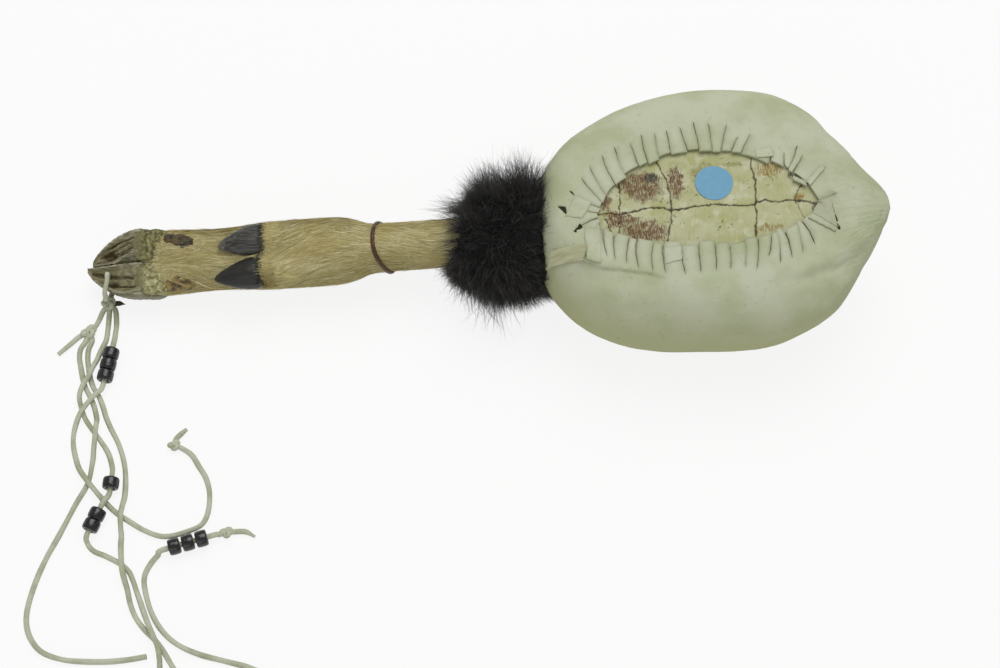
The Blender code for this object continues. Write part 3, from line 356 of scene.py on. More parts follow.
class RattleHandleSettings(bpy.types.PropertyGroup):
    """Sizes and colours of the leg, the fur collar and the hooves"""
    fur_hairs: bpy.props.IntProperty(
        name="Fur hairs", description="Hairs in the fur collar", default=30000, min=1000, max=36000)
    leg_hairs: bpy.props.IntProperty(
        name="Leg hairs", description="Short hairs that lie along the leg",
        default=46000, min=1000, max=60000)
    hair_length: length_setting("Leg hair length", "Usual length of the hair on the leg", 0.0095)
    hair_colour: colour_setting("Leg hair", "Middle colour of the hair on the leg", "#dacf93")
    horn_colour: colour_setting("Horn", "Colour of the hoof wall", "#8b866a")


class RattleThongSettings(bpy.types.PropertyGroup):
    """Sizes and colours of the lace and the beads"""
    lace_diameter: length_setting("Lace", "Diameter of the lace", CORD_DIAMETER)
    lace_colour: colour_setting("Lace", "Colour of the lace", "#c9ccb5")
    bead_colour: colour_setting("Beads", "Colour of the beads", "#101010")


class RattleStageSettings(bpy.types.PropertyGroup):
    """Camera and light"""
    lens: bpy.props.FloatProperty(
        name="Lens", description="Focal length of the camera", default=74.376, unit='CAMERA')
    key_power: bpy.props.FloatProperty(
        name="Key light", description="Power of the large lamp overhead", default=15.5, unit='POWER')


def node(tree, kind, values=None, output=0, **settings):
    """Add a node and give one output. Settings are its options; values are set on its sockets or linked."""
    made = tree.nodes.new("ShaderNode" + kind)
    for key, value in settings.items():
        setattr(made, key, value)
    for key, value in (values or {}).items():
        if isinstance(value, bpy.types.NodeSocket):
            tree.links.new(value, made.inputs[key])
        else:
            made.inputs[key].default_value = linear(value) if isinstance(value, str) else value
    return made.outputs[output]


def blank_material(name, roughness, ior=1.5, specular=0.5):
    """A new material and its node tree."""
    material = bpy.data.materials.new(name)
    material.use_nodes = True
    shader = material.node_tree.nodes["Principled BSDF"]
    for key, value in (("Roughness", roughness), ("IOR", ior), ("Specular IOR Level", specular)):
        shader.inputs[key].default_value = value
    return material, material.node_tree


def layered(tree, colour, *coats):
    """A colour under coats: each has a mask, the values where it starts and is full, its most, its tint."""
    for mask, start, full, most, tint in coats:
        share = node(tree, "MapRange", {"Value": mask, "From Min": start, "From Max": full, "To Max": most})
        colour = node(tree, "Mix", {0: share, 6: colour, 7: tint}, 2, data_type='RGBA')
    return colour


def surfaced(material, colour, relief=None, strength=0.0, distance=0.0):
    """The material with its colour and, where it has a strength, its fine relief."""
    tree = material.node_tree
    shader = tree.nodes["Principled BSDF"]
    tree.links.new(colour, shader.inputs["Base Color"])
    if strength:
        bump = node(tree, "Bump", {"Height": relief, "Strength": strength, "Distance": distance})
        tree.links.new(bump, shader.inputs["Normal"])
    return material


def mottled(name, roughness, size, detail, colour, coat, strength=0.0, distance=0.0, specular=0.5):
    """A material of two colours, mixed by noise with a size along each axis, which is also its relief."""
    material, tree = blank_material(name, roughness, specular=specular)
    place = node(tree, "TexCoord", output="Object")
    place = node(tree, "Mapping", {"Vector": place, "Scale": [1 / grain for grain in size]})
    noisy = node(tree, "TexNoise", {"Vector": place, "Scale": 1.0, "Detail": detail})
    return surfaced(material, layered(tree, colour, (noisy, *coat)), noisy, strength, distance)


def new_piece(name, points, faces):
    """A mesh object at the origin."""
    mesh = bpy.data.meshes.new(name)
    mesh.from_pydata(np.asarray(points, float).tolist(), [], faces)
    mesh.update()
    piece = bpy.data.objects.new(name, mesh)
    bpy.context.scene.collection.objects.link(piece)
    return piece


def grid_faces(rows, columns, start=0, closed=False):
    """Faces between the rows of a grid of points, whose last column can be joined to the first."""
    faces = []
    for low in range(start, start + (rows - 1) * columns, columns):
        for c in range(columns if closed else columns - 1):
            e = (c + 1) % columns
            faces.append((low + c, low + e, low + columns + e, low + columns + c))
    return faces


def only_select(piece):
    bpy.ops.object.select_all(action='DESELECT')
    piece.select_set(True)
    bpy.context.view_layer.objects.active = piece


def apply_modifiers(piece):
    only_select(piece)
    for modifier in list(piece.modifiers):
        bpy.ops.object.modifier_apply(modifier=modifier.name)


def thicken(piece, thickness, offset):
    """Give a skin its thickness: inwards at offset -1, outwards at 1."""
    wall = piece.modifiers.new("Wall", 'SOLIDIFY')
    wall.thickness = thickness
    wall.offset = offset
    apply_modifiers(piece)


def face_outwards(piece):
    only_select(piece)
    bpy.ops.object.mode_set(mode='EDIT')
    bpy.ops.mesh.select_all(action='SELECT')
    bpy.ops.mesh.normals_make_consistent(inside=False)
    bpy.ops.object.mode_set(mode='OBJECT')


def smooth(piece, degrees=40):
    only_select(piece)
    bpy.ops.object.shade_smooth_by_angle(angle=math.radians(degrees))


def add_values(piece, name, values):
    """A number for each point of a mesh, which materials read by name."""
    layer = piece.data.attributes.new(name, 'FLOAT', 'POINT')
    layer.data.foreach_set("value", np.asarray(values, np.float32).ravel())


def dress(piece, material, body, slot, *nodes):
    """Give a finished piece its material and its body, and hide the solids that it stands for. Its slot is
    not used.
    """
    piece.data.materials.clear()
    piece.data.materials.append(material)
    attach(piece, body)
    if nodes:
        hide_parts(*nodes)


def spline(points, pieces=12):
    """A smooth line through the points, as a fine array."""
    points = np.asarray(points, float)
    ends = np.vstack([2 * points[0] - points[1], points, 2 * points[-1] - points[-2]])
    t = (np.arange(pieces) / pieces)[:, None]
    spans = []
    for a, b, c, d in zip(ends, ends[1:], ends[2:], ends[3:]):
        square, cube = 2 * a - 5 * b + 4 * c - d, 3 * b - a - 3 * c + d
        spans.append(0.5 * (2 * b + (c - a) * t + square * t ** 2 + cube * t ** 3))
    return np.vstack([*spans, points[-1:]])


def travel(line):
    """How far along a line each of its points lies."""
    return np.r_[0, np.cumsum(np.linalg.norm(np.diff(line, axis=0), axis=1))]


def circle(sides):
    """Angles once round, evenly spaced."""
    return np.linspace(0, 2 * math.pi, sides, endpoint=False)


def spaced(line, step):
    """The line again, with points about a step apart."""
    along = travel(line)
    at = np.linspace(0, along[-1], max(3, round(along[-1] / step) + 1))
    return np.stack([np.interp(at, along, line[:, k]) for k in range(line.shape[1])], axis=1)


def ramp(value, low, high):
    """0 below low, 1 above high and smooth between."""
    t = np.clip((np.asarray(value, float) - low) / (high - low), 0, 1)
    return t * t * (3 - 2 * t)


def lumps(points, size, seed=0.0):
    """Smooth noise from -1 to 1 at each point, with lumps of a size in metres."""
    shift = Vector((seed * 3.1, seed * 1.7, seed * 2.3))
    return np.array([noise.noise(Vector(p) / size + shift) for p in points])


def to_world(points):
    """Points of the handle, x along the leg away from the toe, in the row frame."""
    points = np.asarray(points, float)
    matrix = np.array(HANDLE)
    return points @ matrix[:3, :3].T + matrix[:3, 3]


def on_handle(d, y, z):
    """Points of the handle at a distance down the leg, a way across it and a height."""
    return to_world(np.stack([-d, y, z], axis=-1))


# Hide cover

def round_line(share, lines):
    """Places on a closed line that starts at the tail, with half of the shares on each side of it."""
    share = np.asarray(share, float) % 1.0
    place = np.zeros((*share.shape, 2))
    for side, line in enumerate(lines):
        along = travel(line)
        mine = (share >= 0.5) == bool(side)
        at = (share[mine] - 0.5 * side) * 2 * along[-1]
        place[mine] = np.stack([np.interp(at, along, line[:, k]) for k in range(2)], axis=-1)
    return place


def rim_side(side):
    """One side of the widest outline at its real size."""
    reach = [SHELL_TAIL if along > 0 else SHELL_NECK for along, _ in side]
    return spline(np.array(side) * np.column_stack([reach, np.full(len(side), SHELL_HALF_WIDTH)]))


RIM = (rim_side(RIM_FAR_SIDE), rim_side(RIM_NEAR_SIDE))
WINDOW = (spline(WINDOW_FAR_SIDE), spline(WINDOW_NEAR_SIDE))


def rim_curve(share):
    """The widest outline of the cover, from the tail round over the far side."""
    flat = round_line(share, RIM)
    ahead = np.clip(flat[..., 0] / SHELL_TAIL, 0, 1)
    height = RIM_HEIGHT + RIM_SLOPE * flat[..., 0] + TAIL_LIFT * ahead ** 8
    return np.concatenate([flat, height[..., None]], axis=-1)


def window_curve(share):
    """The window's edge, from the tail round over the far side."""
    return round_line(share, WINDOW)


def hide_top(share, depth):
    """A place on the flat top of the hide: depth 0 is at the shoulder and 1 at the window's edge."""
    edge = window_curve(share)
    return edge + (rim_curve(share)[..., :2] - edge) * SHOULDER_SHARE * (1 - np.asarray(depth))[..., None]


def hide_rows(share):
    """Points of the hide for each row from the crown up to the shoulder."""
    rim = rim_curve(share)
    shoulder = hide_top(share, np.zeros(len(share)))
    rows = []
    for inner in (0.3, 0.65):
        rows.append(np.column_stack([rim[:, :2] * CROWN_SHARE * inner, np.zeros(len(share))]))
    for angle in np.linspace(0, math.pi / 2, 17):
        out = CROWN_SHARE + (1 - CROWN_SHARE) * math.sin(angle) ** BOWL_FULLNESS
        rise = 1 - max(0.0, math.cos(angle)) ** BOWL_FULLNESS
        rows.append(np.column_stack([rim[:, :2] * out, rim[:, 2] * rise]))
    near = np.clip(-rim[:, 1] / SHELL_HALF_WIDTH, 0, 1)
    full = SHOULDER_FULLNESS + (NEAR_SHOULDER_FULLNESS - SHOULDER_FULLNESS) * near
    for angle in np.linspace(0, math.pi / 2, 31)[1:]:
        out = max(0.0, math.cos(angle)) ** full
        rise = math.sin(angle) ** full
        flat = shoulder + (rim[:, :2] - shoulder) * out[:, None]
        rows.append(np.column_stack([flat, rim[:, 2] + (SHELL_HEIGHT - rim[:, 2]) * rise]))
    return rows


def place_slits():
    """Each slit's share of the way round at its outer and inner end, and the depth where it starts."""
    shares = np.linspace(0, 1, 1600, endpoint=False)
    depths = np.linspace(0.03, 0.95, 47)
    grid = np.array([hide_top(shares, np.full(1600, depth)) for depth in depths])
    edge = window_curve(shares)
    found = []
    for slit in np.array(SLITS):
        outer = np.hypot(*(grid - slit[:2] * MM).transpose(2, 0, 1))
        row, column = np.unravel_index(outer.argmin(), outer.shape)
        inner = np.hypot(*(edge - slit[2:4] * MM).T).argmin()
        found.append((shares[column], shares[inner], depths[row]))
    found = np.array(found)
    found[0, :2] -= found[0, :2] > 0.5
    found[-1, :2] += found[-1, :2] < 0.5
    for column in (0, 1):
        for i in range(1, len(found)):
            found[i, column] = max(found[i, column], found[i - 1, column] + 0.005)
    return found


def from_line(line, x, y):
    """How far points lie from a line, positive on its right, and their share of the way along it."""
    line = spaced(np.array(line, float), 1.0)
    best = np.full(len(x), 1e9)
    side, share = np.zeros(len(x)), np.zeros(len(x))
    for k, (a, b) in enumerate(zip(line, line[1:])):
        d = b - a
        t = np.clip(((x - a[0]) * d[0] + (y - a[1]) * d[1]) / (d @ d), 0, 1)
        gap = np.hypot(x - a[0] - t * d[0], y - a[1] - t * d[1])
        closer = gap < best
        best = np.where(closer, gap, best)
        side = np.where(closer, np.sign((y - a[1]) * d[0] - (x - a[0]) * d[1]), side)
        share = np.where(closer, (k + t) / (len(line) - 1), share)
    return -best * side, share


def hide_waves(where):
    """How far the hide stands out at each point: dents, the near side's ledge and fold, tail pleats."""
    x, y = where[:, 0] / MM, where[:, 1] / MM
    upper = ramp(where[:, 2], 0.040, 0.052)
    wave = 0.00050 * lumps(where, 0.035, 1) + 0.00030 * lumps(where * (0.35, 1, 1), 0.010, 2)
    wave += 0.00012 * lumps(where, 0.004, 5)
    away, share = from_line(LEDGE, x, y)
    away = away + 0.9 * lumps(where, 0.006, 6)
    ends = ramp(share, 0.0, 0.06) * ramp(-share, -1.0, -0.75)
    wave -= 0.0013 * upper * ends * ramp(away, -0.5, 0.6) * ramp(-away, -13, -3)
    wave += 0.0003 * upper * ends * np.exp(-((away + 2.2) / 1.6) ** 2)
    away, share = from_line(TAIL_FOLD, x, y)
    away = away + 1.6 * lumps(where, 0.011, 7)
    ends = ramp(share, 0.0, 0.35) * ramp(-share, -1.0, -0.70)
    fold = np.exp(-((away + 4.0) / 4.0) ** 2) - np.exp(-((away - 1.6) / 2.6) ** 2)
    wave += 0.0010 * upper * ends * fold
    turn = np.arctan2(where[:, 1] - TAIL_TIP[1], TAIL_TIP[0] - where[:, 0])
    pleats = np.sin(turn * 38 + 2.4 * lumps(where, 0.014, 3))
    pleats *= 0.35 + 0.65 * np.abs(lumps(where, 0.012, 4))
    wave += 0.00060 * ramp(where[:, 0], 0.052, 0.068) * upper * pleats
    return ramp(where[:, 2], 0.002, 0.016) * wave - 0.0011 * ramp(gashes(where), 0.3, 1.0)


def gashes(where):
    """How far each point lies in a gash, from 0 outside to 1 inside and a half at its edge."""
    x, y = where[:, 0] / MM, where[:, 1] / MM
    deep = np.full(len(where), -9.0)
    for corners in np.array(GASHES):
        inside = np.full(len(where), 9.0)
        for a, b in zip(corners, np.roll(corners, -1, axis=0)):
            along = (b - a) / np.hypot(*(b - a))
            inside = np.minimum(inside, (x - a[0]) * along[1] - (y - a[1]) * along[0])
        deep = np.maximum(deep, inside)
    return np.clip(0.5 + deep, 0, 1) * (where[:, 2] > RIM_HEIGHT)


def build_cover(settings):
    """The hide in one skin, its edge cut into tabs that lie a little apart and a little raised."""
    rng = np.random.default_rng(11)
    slits = place_slits()
    tabs = len(slits)
    columns = 11
    width = columns + 1
    gape = np.array(SLITS)[:, 4:] * MM * settings.slit_gape
    raised = settings.tab_lift * (rng.uniform(0.0, 0.55, (tabs, 2)) + (rng.random((tabs, 2)) > 0.78) * 0.6)
    longer = rng.uniform(-0.10, 0.08, tabs)
    wander = rng.uniform(0, 6.28, (tabs, 2))
    u = np.linspace(0, 1, width)
    points, faces, soil_and_shade = [], [], []
    for t in range(tabs):
        pair = [t, (t + 1) % tabs]
        round_again = np.array((0.0, 0.0 if t + 1 < tabs else 1.0))
        outer, inner, start_depth = slits[pair].T
        outer, inner = outer + round_again, inner + round_again
        grid = hide_rows(outer[0] * (1 - u) + outer[1] * u)
        dirt_and_shade = [np.zeros(width) for _ in grid]
        for depth in np.linspace(0, 1, 37)[1:]:
            q = np.clip((depth - start_depth) / (1 - start_depth), 0, 1)
            ends = outer + (inner - outer) * q
            share = ends[0] * (1 - u) + ends[1] * u
            closing = (1 - q) ** 1.4
            half = (gape[pair, 0] * closing + gape[pair, 1] * (1 - closing)) / 2 * np.minimum(1, q / 0.12)
            bend = np.sin(depth * 9 + wander[pair, 0]) + 0.6 * np.sin(depth * 23 + wander[pair, 1])
            bend = 0.00012 * bend * np.minimum(1, q / 0.2)
            level = np.full(width, depth)
            ahead = hide_top(share + 0.002, level) - hide_top(share - 0.002, level)
            ahead /= np.linalg.norm(ahead, axis=1, keepdims=True)
            lift = raised[t, 0] * q[0] ** 1.6 * (1 - u) ** 1.5 + raised[t, 1] * q[1] ** 1.6 * u ** 1.5
            stretch = depth + longer[t] * (q[0] * (1 - u) + q[1] * u) ** 2
            aside = (half[0] + bend[0]) * (1 - u) + (bend[1] - half[1]) * u
            place = hide_top(share, stretch) + ahead * aside[:, None]
            bulge = 0.00050 * (1 - (2 * u - 1) ** 4) * (q[0] * q[1]) ** 0.5
            grid.append(np.column_stack([place, SHELL_HEIGHT + lift + bulge]))
            # The hide is darkened along each slit and at the tab ends by the window: partly soil at the
            # cuts, partly painted shade.
            near_cut = np.maximum((1 - u) ** 7 * np.minimum(1, q[0] * 6), u ** 7 * np.minimum(1, q[1] * 6))
            dirt_and_shade.append(np.maximum(near_cut * 0.6, 0.5 * float(ramp(depth, 0.94, 1.0))))
        start = len(points)
        for row, spots in zip(grid, dirt_and_shade):
            points.extend(row)
            soil_and_shade.extend(spots)
        faces += grid_faces(len(grid), width, start)
        points.append((0, 0, 0))
        soil_and_shade.append(0.0)
        for c in range(columns):
            faces.append((start + c + 1, start + c, len(points) - 1))
    cover = new_piece("hide_cover", points, faces)
    where = np.array(points)
    # Painted shade: the hide is darkened along the ledge's crease under the near tabs.
    crease, share = from_line(LEDGE, where[:, 0] / MM, where[:, 1] / MM)
    crease = np.exp(-((crease - 0.5) / 0.55) ** 2)
    crease *= ramp(where[:, 2], 0.050, 0.060) * ramp(-share, -1.0, -0.8)
    add_values(cover, "soil_and_shade", np.maximum(soil_and_shade, 0.55 * crease * (0.6 + 0.8 * lumps(where, 0.004, 20))))
    # Painted shade: the gashes are coloured dark for the shade inside the openings.
    add_values(cover, "gash", gashes(where))
    work = bmesh.new()
    work.from_mesh(cover.data)
    bmesh.ops.remove_doubles(work, verts=work.verts, dist=1e-6)
    work.normal_update()
    for vert, amount in zip(work.verts, hide_waves(np.array([vert.co for vert in work.verts]))):
        vert.co += vert.normal * amount
    work.to_mesh(cover.data)
    work.free()
    thicken(cover, settings.hide_thickness, -1.0)
    smooth(cover, 45)
    hide = tawed_hide(settings)
    dress(cover, hide, "rattle", "hide_cover", "leather_cover")
    build_laps(hide)


def build_laps(hide):
    """Tabs that lie over their neighbours: at the neck, on the near side and folded at the tail."""
    tree = cover_tree()
    side = 13
    u, v = (a.ravel() for a in np.meshgrid(np.linspace(0, 1, side), np.linspace(0, 1, side)))
    points, faces, soil_and_shade = [], [], []
    for corners, lifts, dirt_and_shade in LAPS:
        weights = np.stack([(1 - u) * (1 - v), u * (1 - v), u * v, (1 - u) * v], axis=1)
        flat = weights @ np.array(corners) * MM
        flat += 0.00045 * np.column_stack([lumps(np.c_[flat, u], 0.004, s) for s in (81, 82)])
        rise = weights @ np.array(lifts) * MM
        start = len(points)
        for (x, y), up in zip(flat, rise):
            points.append((x, y, max(hide_below(tree, x, y).z, SHELL_HEIGHT) + 0.0001 + up))
        # Each lap is darkened round its edge and by its listed share: partly soil, partly painted shade.
        edge = np.minimum(np.minimum(u, 1 - u), np.minimum(v, 1 - v))
        soil_and_shade.extend(np.maximum(dirt_and_shade, 0.3 * (1 - ramp(edge, 0.0, 0.10))))
        faces += grid_faces(side, side, start)
    laps = new_piece("hide_laps", points, faces)
    add_values(laps, "soil_and_shade", soil_and_shade)
    thicken(laps, LAP_THICKNESS, 1.0)
    face_outwards(laps)
    smooth(laps, 45)
    dress(laps, hide, "rattle", "hide_cover")


def tawed_hide(settings):
    """Alum-tawed hide, stretched and dried: matte and pale, with painted shade that makes it darker and
    yellower down its sides, and darker at the cuts from soil and painted shade.
    """
    material, tree = blank_material("tawed_hide", 0.82, specular=0.25)
    place = node(tree, "TexCoord", output="Object")
    axes = node(tree, "SeparateXYZ", {"Vector": place}).node.outputs
    clouds, specks, grain, creases = (
        node(tree, "TexNoise", {"Vector": place, "Scale": 1 / size, "Detail": detail})
        for size, detail in ((0.022, 5.0), (0.0030, 4.0), (0.0009, 3.0), (0.005, 5.0)))
    soil_and_shade, gash = (node(tree, "Attribute", output="Fac", attribute_name=name) for name in ("soil_and_shade", "gash"))
    hide = layered(
        tree, settings.hide_colour[:],
        # Painted shade: the hide turns darker and yellower lower down its sides.
        (clouds, 0.4, 0.66, 1.0, "#b3ba96"), (axes["Z"], 0.070, 0.042, 1.0, "#b4b78c"),
        # Darker at the cuts, tab ends, ledge crease and laps: partly soil, partly painted shade.
        (specks, 0.60, 0.80, 0.5, "#9fa077"), (soil_and_shade, 0.0, 1.0, 0.75, "#75724c"),
        # Painted shade in the gashes.
        (gash, 0.46, 0.60, 1.0, "#35321d"))
    relief = node(tree, "Math", {0: creases, 1: 2.5, 2: grain}, operation='MULTIPLY_ADD')
    aside = node(tree, "Math", {0: TAIL_TIP[0] + 0.010, 1: axes["X"]}, operation='SUBTRACT')
    across = node(tree, "Math", {0: axes["Y"], 1: TAIL_TIP[1]}, operation='SUBTRACT')
    angle = node(tree, "Math", {0: across, 1: aside}, operation='ARCTAN2')
    fan = node(tree, "CombineXYZ", {"X": angle, "Y": axes["X"]})
    fan = node(tree, "Mapping", {"Vector": fan, "Scale": (15.0, 1 / 0.013, 1.0)})
    pleats = node(tree, "TexNoise", {"Vector": fan, "Scale": 1.0, "Detail": 3.0, "Distortion": 0.6})
    tail = node(tree, "MapRange", {"Value": axes["X"], "From Min": 0.050, "From Max": 0.062, "To Max": 9.0})
    relief = node(tree, "Math", {0: pleats, 1: tail, 2: relief}, operation='MULTIPLY_ADD')
    return surfaced(material, hide, relief, 0.40, 0.0004)


def patch(x, y, patches, feather=0.35):
    """How deep each point lies in a set of oval patches, from 0 to 1."""
    found = np.zeros(len(x))
    for cx, cy, rx, ry in patches:
        away = np.hypot((x - cx) / rx, (y - cy) / ry)
        found = np.maximum(found, 1 - ramp(away, 1 - feather, 1 + feather))
    return found


def build_scutes(settings):
    """The horny scutes of the plastron: a thin layer with sunken, toothed seams, on the bone below."""
    xs = np.arange(-66, 58.01, SCUTE_STEP)
    ys = np.arange(-33, 33.01, SCUTE_STEP)
    x, y = (a.ravel() for a in np.meshgrid(xs, ys))
    flat = np.column_stack([x, y, np.zeros(len(x))])
    jag_x = 0.9 * lumps(flat, 3.1, 5) + 0.75 * lumps(flat, 1.3, 6)
    jag_y = 0.9 * lumps(flat, 2.7, 15) + 0.75 * lumps(flat, 1.2, 16)
    swell = 1 + 0.6 * lumps(flat, 4.0, 17)
    seam = np.zeros(len(x))
    for line, wide in zip(SEAMS, SEAM_WIDTHS):
        gap, _ = from_line(spline(line, 8), x + jag_x * 0.8, y + jag_y * 0.8)
        seam = np.maximum(seam, 1 - ramp(np.abs(gap) / swell, wide * 0.20, wide * 0.95))
    pits = ramp(lumps(flat, 1.1, 18), 0.45, 0.62) * ramp(lumps(flat, 9.0, 19), 0.0, 0.35)
    seam = np.maximum(seam, 0.75 * pits)
    stain = patch(x + 2.2 * jag_x, y + 2.2 * jag_y, STAIN_PATCHES)
    rust = patch(x + 1.5 * jag_x, y + 1.5 * jag_y, RUST_PATCHES, 0.45)
    soot = patch(x, y, SOOT_PATCHES, 0.5)
    olive = patch(x + 1.2 * jag_x, y + 1.2 * jag_y, OLIVE_PATCHES, 0.6)
    rough = lumps(flat, 1.3, 7)
    height = 0.00003 * lumps(flat, 9.0, 8) - 0.00022 * seam - stain * 0.00010 * np.abs(rough)
    top = np.column_stack([x * MM, y * MM, SCUTE_TOP + height])
    keep = np.hypot(x / SCUTE_HALF_SIZE[0], y / SCUTE_HALF_SIZE[1]) < 1.0
    faces = np.array(grid_faces(len(ys), len(xs)))
    faces = (np.cumsum(keep) - 1)[faces[keep[faces].all(axis=1)]]
    scutes = new_piece("plastron_scutes", top[keep], faces.tolist())
    masks = {"seam": seam, "stain": stain, "rust": rust, "soot": soot, "olive": olive}
    for name, values in masks.items():
        add_values(scutes, name, values[keep])
    thicken(scutes, 0.00015, -1.0)
    smooth(scutes, 60)
    dress(scutes, plastron_horn(settings), "rattle", "shell_bone")


def plastron_horn(settings):
    """Old turtle scutes, dried: satin cream horn, brown seams, fibrous stains, rust and olive smears."""
    material, tree = blank_material("plastron_horn", 0.6, specular=0.3)
    place = node(tree, "TexCoord", output="Object")
    broad, pale, clot = (
        node(tree, "TexNoise", {"Vector": place, "Scale": 1 / size, "Detail": 6.0})
        for size in (0.014, 0.0055, 0.0026))
    fibres = []
    for turn, wide, long, detail in (
        (0.0, 0.0012, 0.008, 4.0), (0.6, 0.0006, 0.0026, 2.0), (-0.9, 0.0006, 0.0026, 2.0),
    ):
        thread = node(tree, "Mapping", {
            "Vector": place, "Rotation": (0.0, 0.0, turn), "Scale": (1 / wide, 1 / long, 1.0)})
        fibres.append(node(tree, "TexNoise", {"Vector": thread, "Scale": 1.0, "Detail": detail}))
    colour = layered(
        tree, settings.scute_colour[:],
        (broad, 0.40, 0.66, 1.0, "#aeaf78"), (pale, 0.50, 0.70, 0.7, "#cfd0b2"),
        (fibres[0], 0.56, 0.78, 0.45, "#938e58"))
    mesh = node(tree, "Math", {0: fibres[1], 1: fibres[2]}, operation='MAXIMUM')
    broken = node(tree, "Math", {0: clot, 1: 0.35, 2: mesh}, operation='MULTIPLY_ADD')
    for name, low, high, tint in (
        ("olive", 0.74, 1.00, "#8f8d58"), ("rust", 0.84, 1.04, "#8f7434"),
        ("stain", 0.76, 1.02, "#694a2f"), ("soot", 0.80, 1.04, "#3d3b35"),
    ):
        mask = node(tree, "Attribute", output="Fac", attribute_name=name)
        share = node(tree, "Math", {0: mask, 1: 0.25, 2: broken}, operation='MULTIPLY_ADD')
        colour = layered(tree, colour, (share, low, high, mask, tint))
    seam = node(tree, "Attribute", output="Fac", attribute_name="seam")
    colour = layered(tree, colour, (seam, 0.0, 1.0, 1.0, "#3f2f14"))
    relief = node(tree, "Math", {0: mesh, 1: 0.5, 2: clot}, operation='MULTIPLY_ADD')
    return surfaced(material, colour, relief, 0.3, 0.0003)


def build_label(settings):
    """A round paper label, its rim lifting a little where the paper has dried."""
    low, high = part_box("round_sticker")
    middle = (Vector(low) + Vector(high)) / 2
    radius = (high[0] - low[0]) / 2
    bpy.ops.mesh.primitive_cylinder_add(
        vertices=96, radius=radius, depth=LABEL_PAPER, location=(middle.x, middle.y, SCUTE_TOP + 0.00022))
    label = bpy.context.object
    label.name = "paper_label"
    bpy.ops.object.mode_set(mode='EDIT')
    bpy.ops.mesh.select_all(action='DESELECT')
    bpy.ops.mesh.select_mode(type='FACE')
    bpy.ops.object.mode_set(mode='OBJECT')
    for face in label.data.polygons:
        face.select = abs(face.normal.z) > 0.5
    bpy.ops.object.mode_set(mode='EDIT')
    for inset in (0.0006, 0.0020, 0.0030):
        bpy.ops.mesh.inset(thickness=inset, use_individual=True)
    bpy.ops.object.mode_set(mode='OBJECT')
    bpy.ops.object.transform_apply(location=True, rotation=True, scale=True)
    for vert in label.data.vertices:
        out = (vert.co - middle).to_2d()
        rim = max(0.0, out.length / radius - 0.55) / 0.45
        vert.co.z += 0.0005 * rim ** 2 * max(0.0, math.sin(math.atan2(out.y, out.x) * 2 + 0.6)) ** 2
    smooth(label, 40)
    paper = mottled(
        "matte_paper", 0.6, (0.0009,) * 3, 4.0, settings.label_colour[:],
        (0.45, 0.75, 0.4, "#86b6d4"), 0.12, 0.0002)
    dress(label, paper, "rattle", "blue_paper", "round_sticker")


def cover_tree():
    """The hide as a surface that hair and straps lie against."""
    mesh = bpy.data.objects["hide_cover"].data
    return BVHTree.FromPolygons([v.co for v in mesh.vertices], [tuple(p.vertices) for p in mesh.polygons])


def hide_below(tree, x, y):
    """The top of the hide at a place, or nothing beside it."""
    return tree.ray_cast(Vector((x, y, ABOVE_ALL)), Vector((0, 0, -1)))[0]


def build_strap():
    """A stiff, flat strip of straw-coloured hide that lies on the cover beside the neck."""
    tree = cover_tree()
    bpy.ops.mesh.primitive_grid_add(x_subdivisions=36, y_subdivisions=12, size=1.0)
    strap = bpy.context.object
    strap.name = "strap_strip"
    bpy.ops.transform.resize(value=(STRAP_LENGTH, STRAP_WIDTH, 1.0))
    bpy.ops.object.transform_apply(location=True, rotation=True, scale=True)
    turn = Matrix.Rotation(STRAP_TURN, 3, 'Z')
    flat, ground = [], []
    for vert in strap.data.vertices:
        across = vert.co.y / (STRAP_WIDTH / 2)
        at = turn @ Vector((vert.co.x + 0.0005 * across, vert.co.y, 0)) + Vector((*STRAP_PLACE, 0))
        flat.append((at.x, at.y, 1.0))
        ground.append(hide_below(tree, at.x, at.y).z)
    flat, ground = np.array(flat), np.array(ground)
    plane = flat @ np.linalg.lstsq(flat, ground, rcond=None)[0]
    stiff = 0.35 * ground + 0.65 * plane
    stiff += max(0.0, (ground - stiff).max()) * 0.55 + 0.0003
    for vert, (x, y, _), z, low in zip(strap.data.vertices, flat, stiff, ground):
        vert.co = (x, y, max(z, low + 0.0002))
    thicken(strap, STRAP_THICKNESS, 1.0)
    edge = strap.modifiers.new("Worn edge", 'BEVEL')
    edge.width = 0.0003
    edge.segments = 2
    apply_modifiers(strap)
    smooth(strap, 40)
    rawhide = mottled(
        "straw_rawhide", 0.6, (0.012, 0.0009, 0.012), 4.0, "#c0c19d",
        (0.38, 0.66, 1.0, "#abab81"), 0.5, 0.0003)
    dress(strap, rawhide, "rattle", "straw_strap", "strap_end")


# Fur, hair and the leg

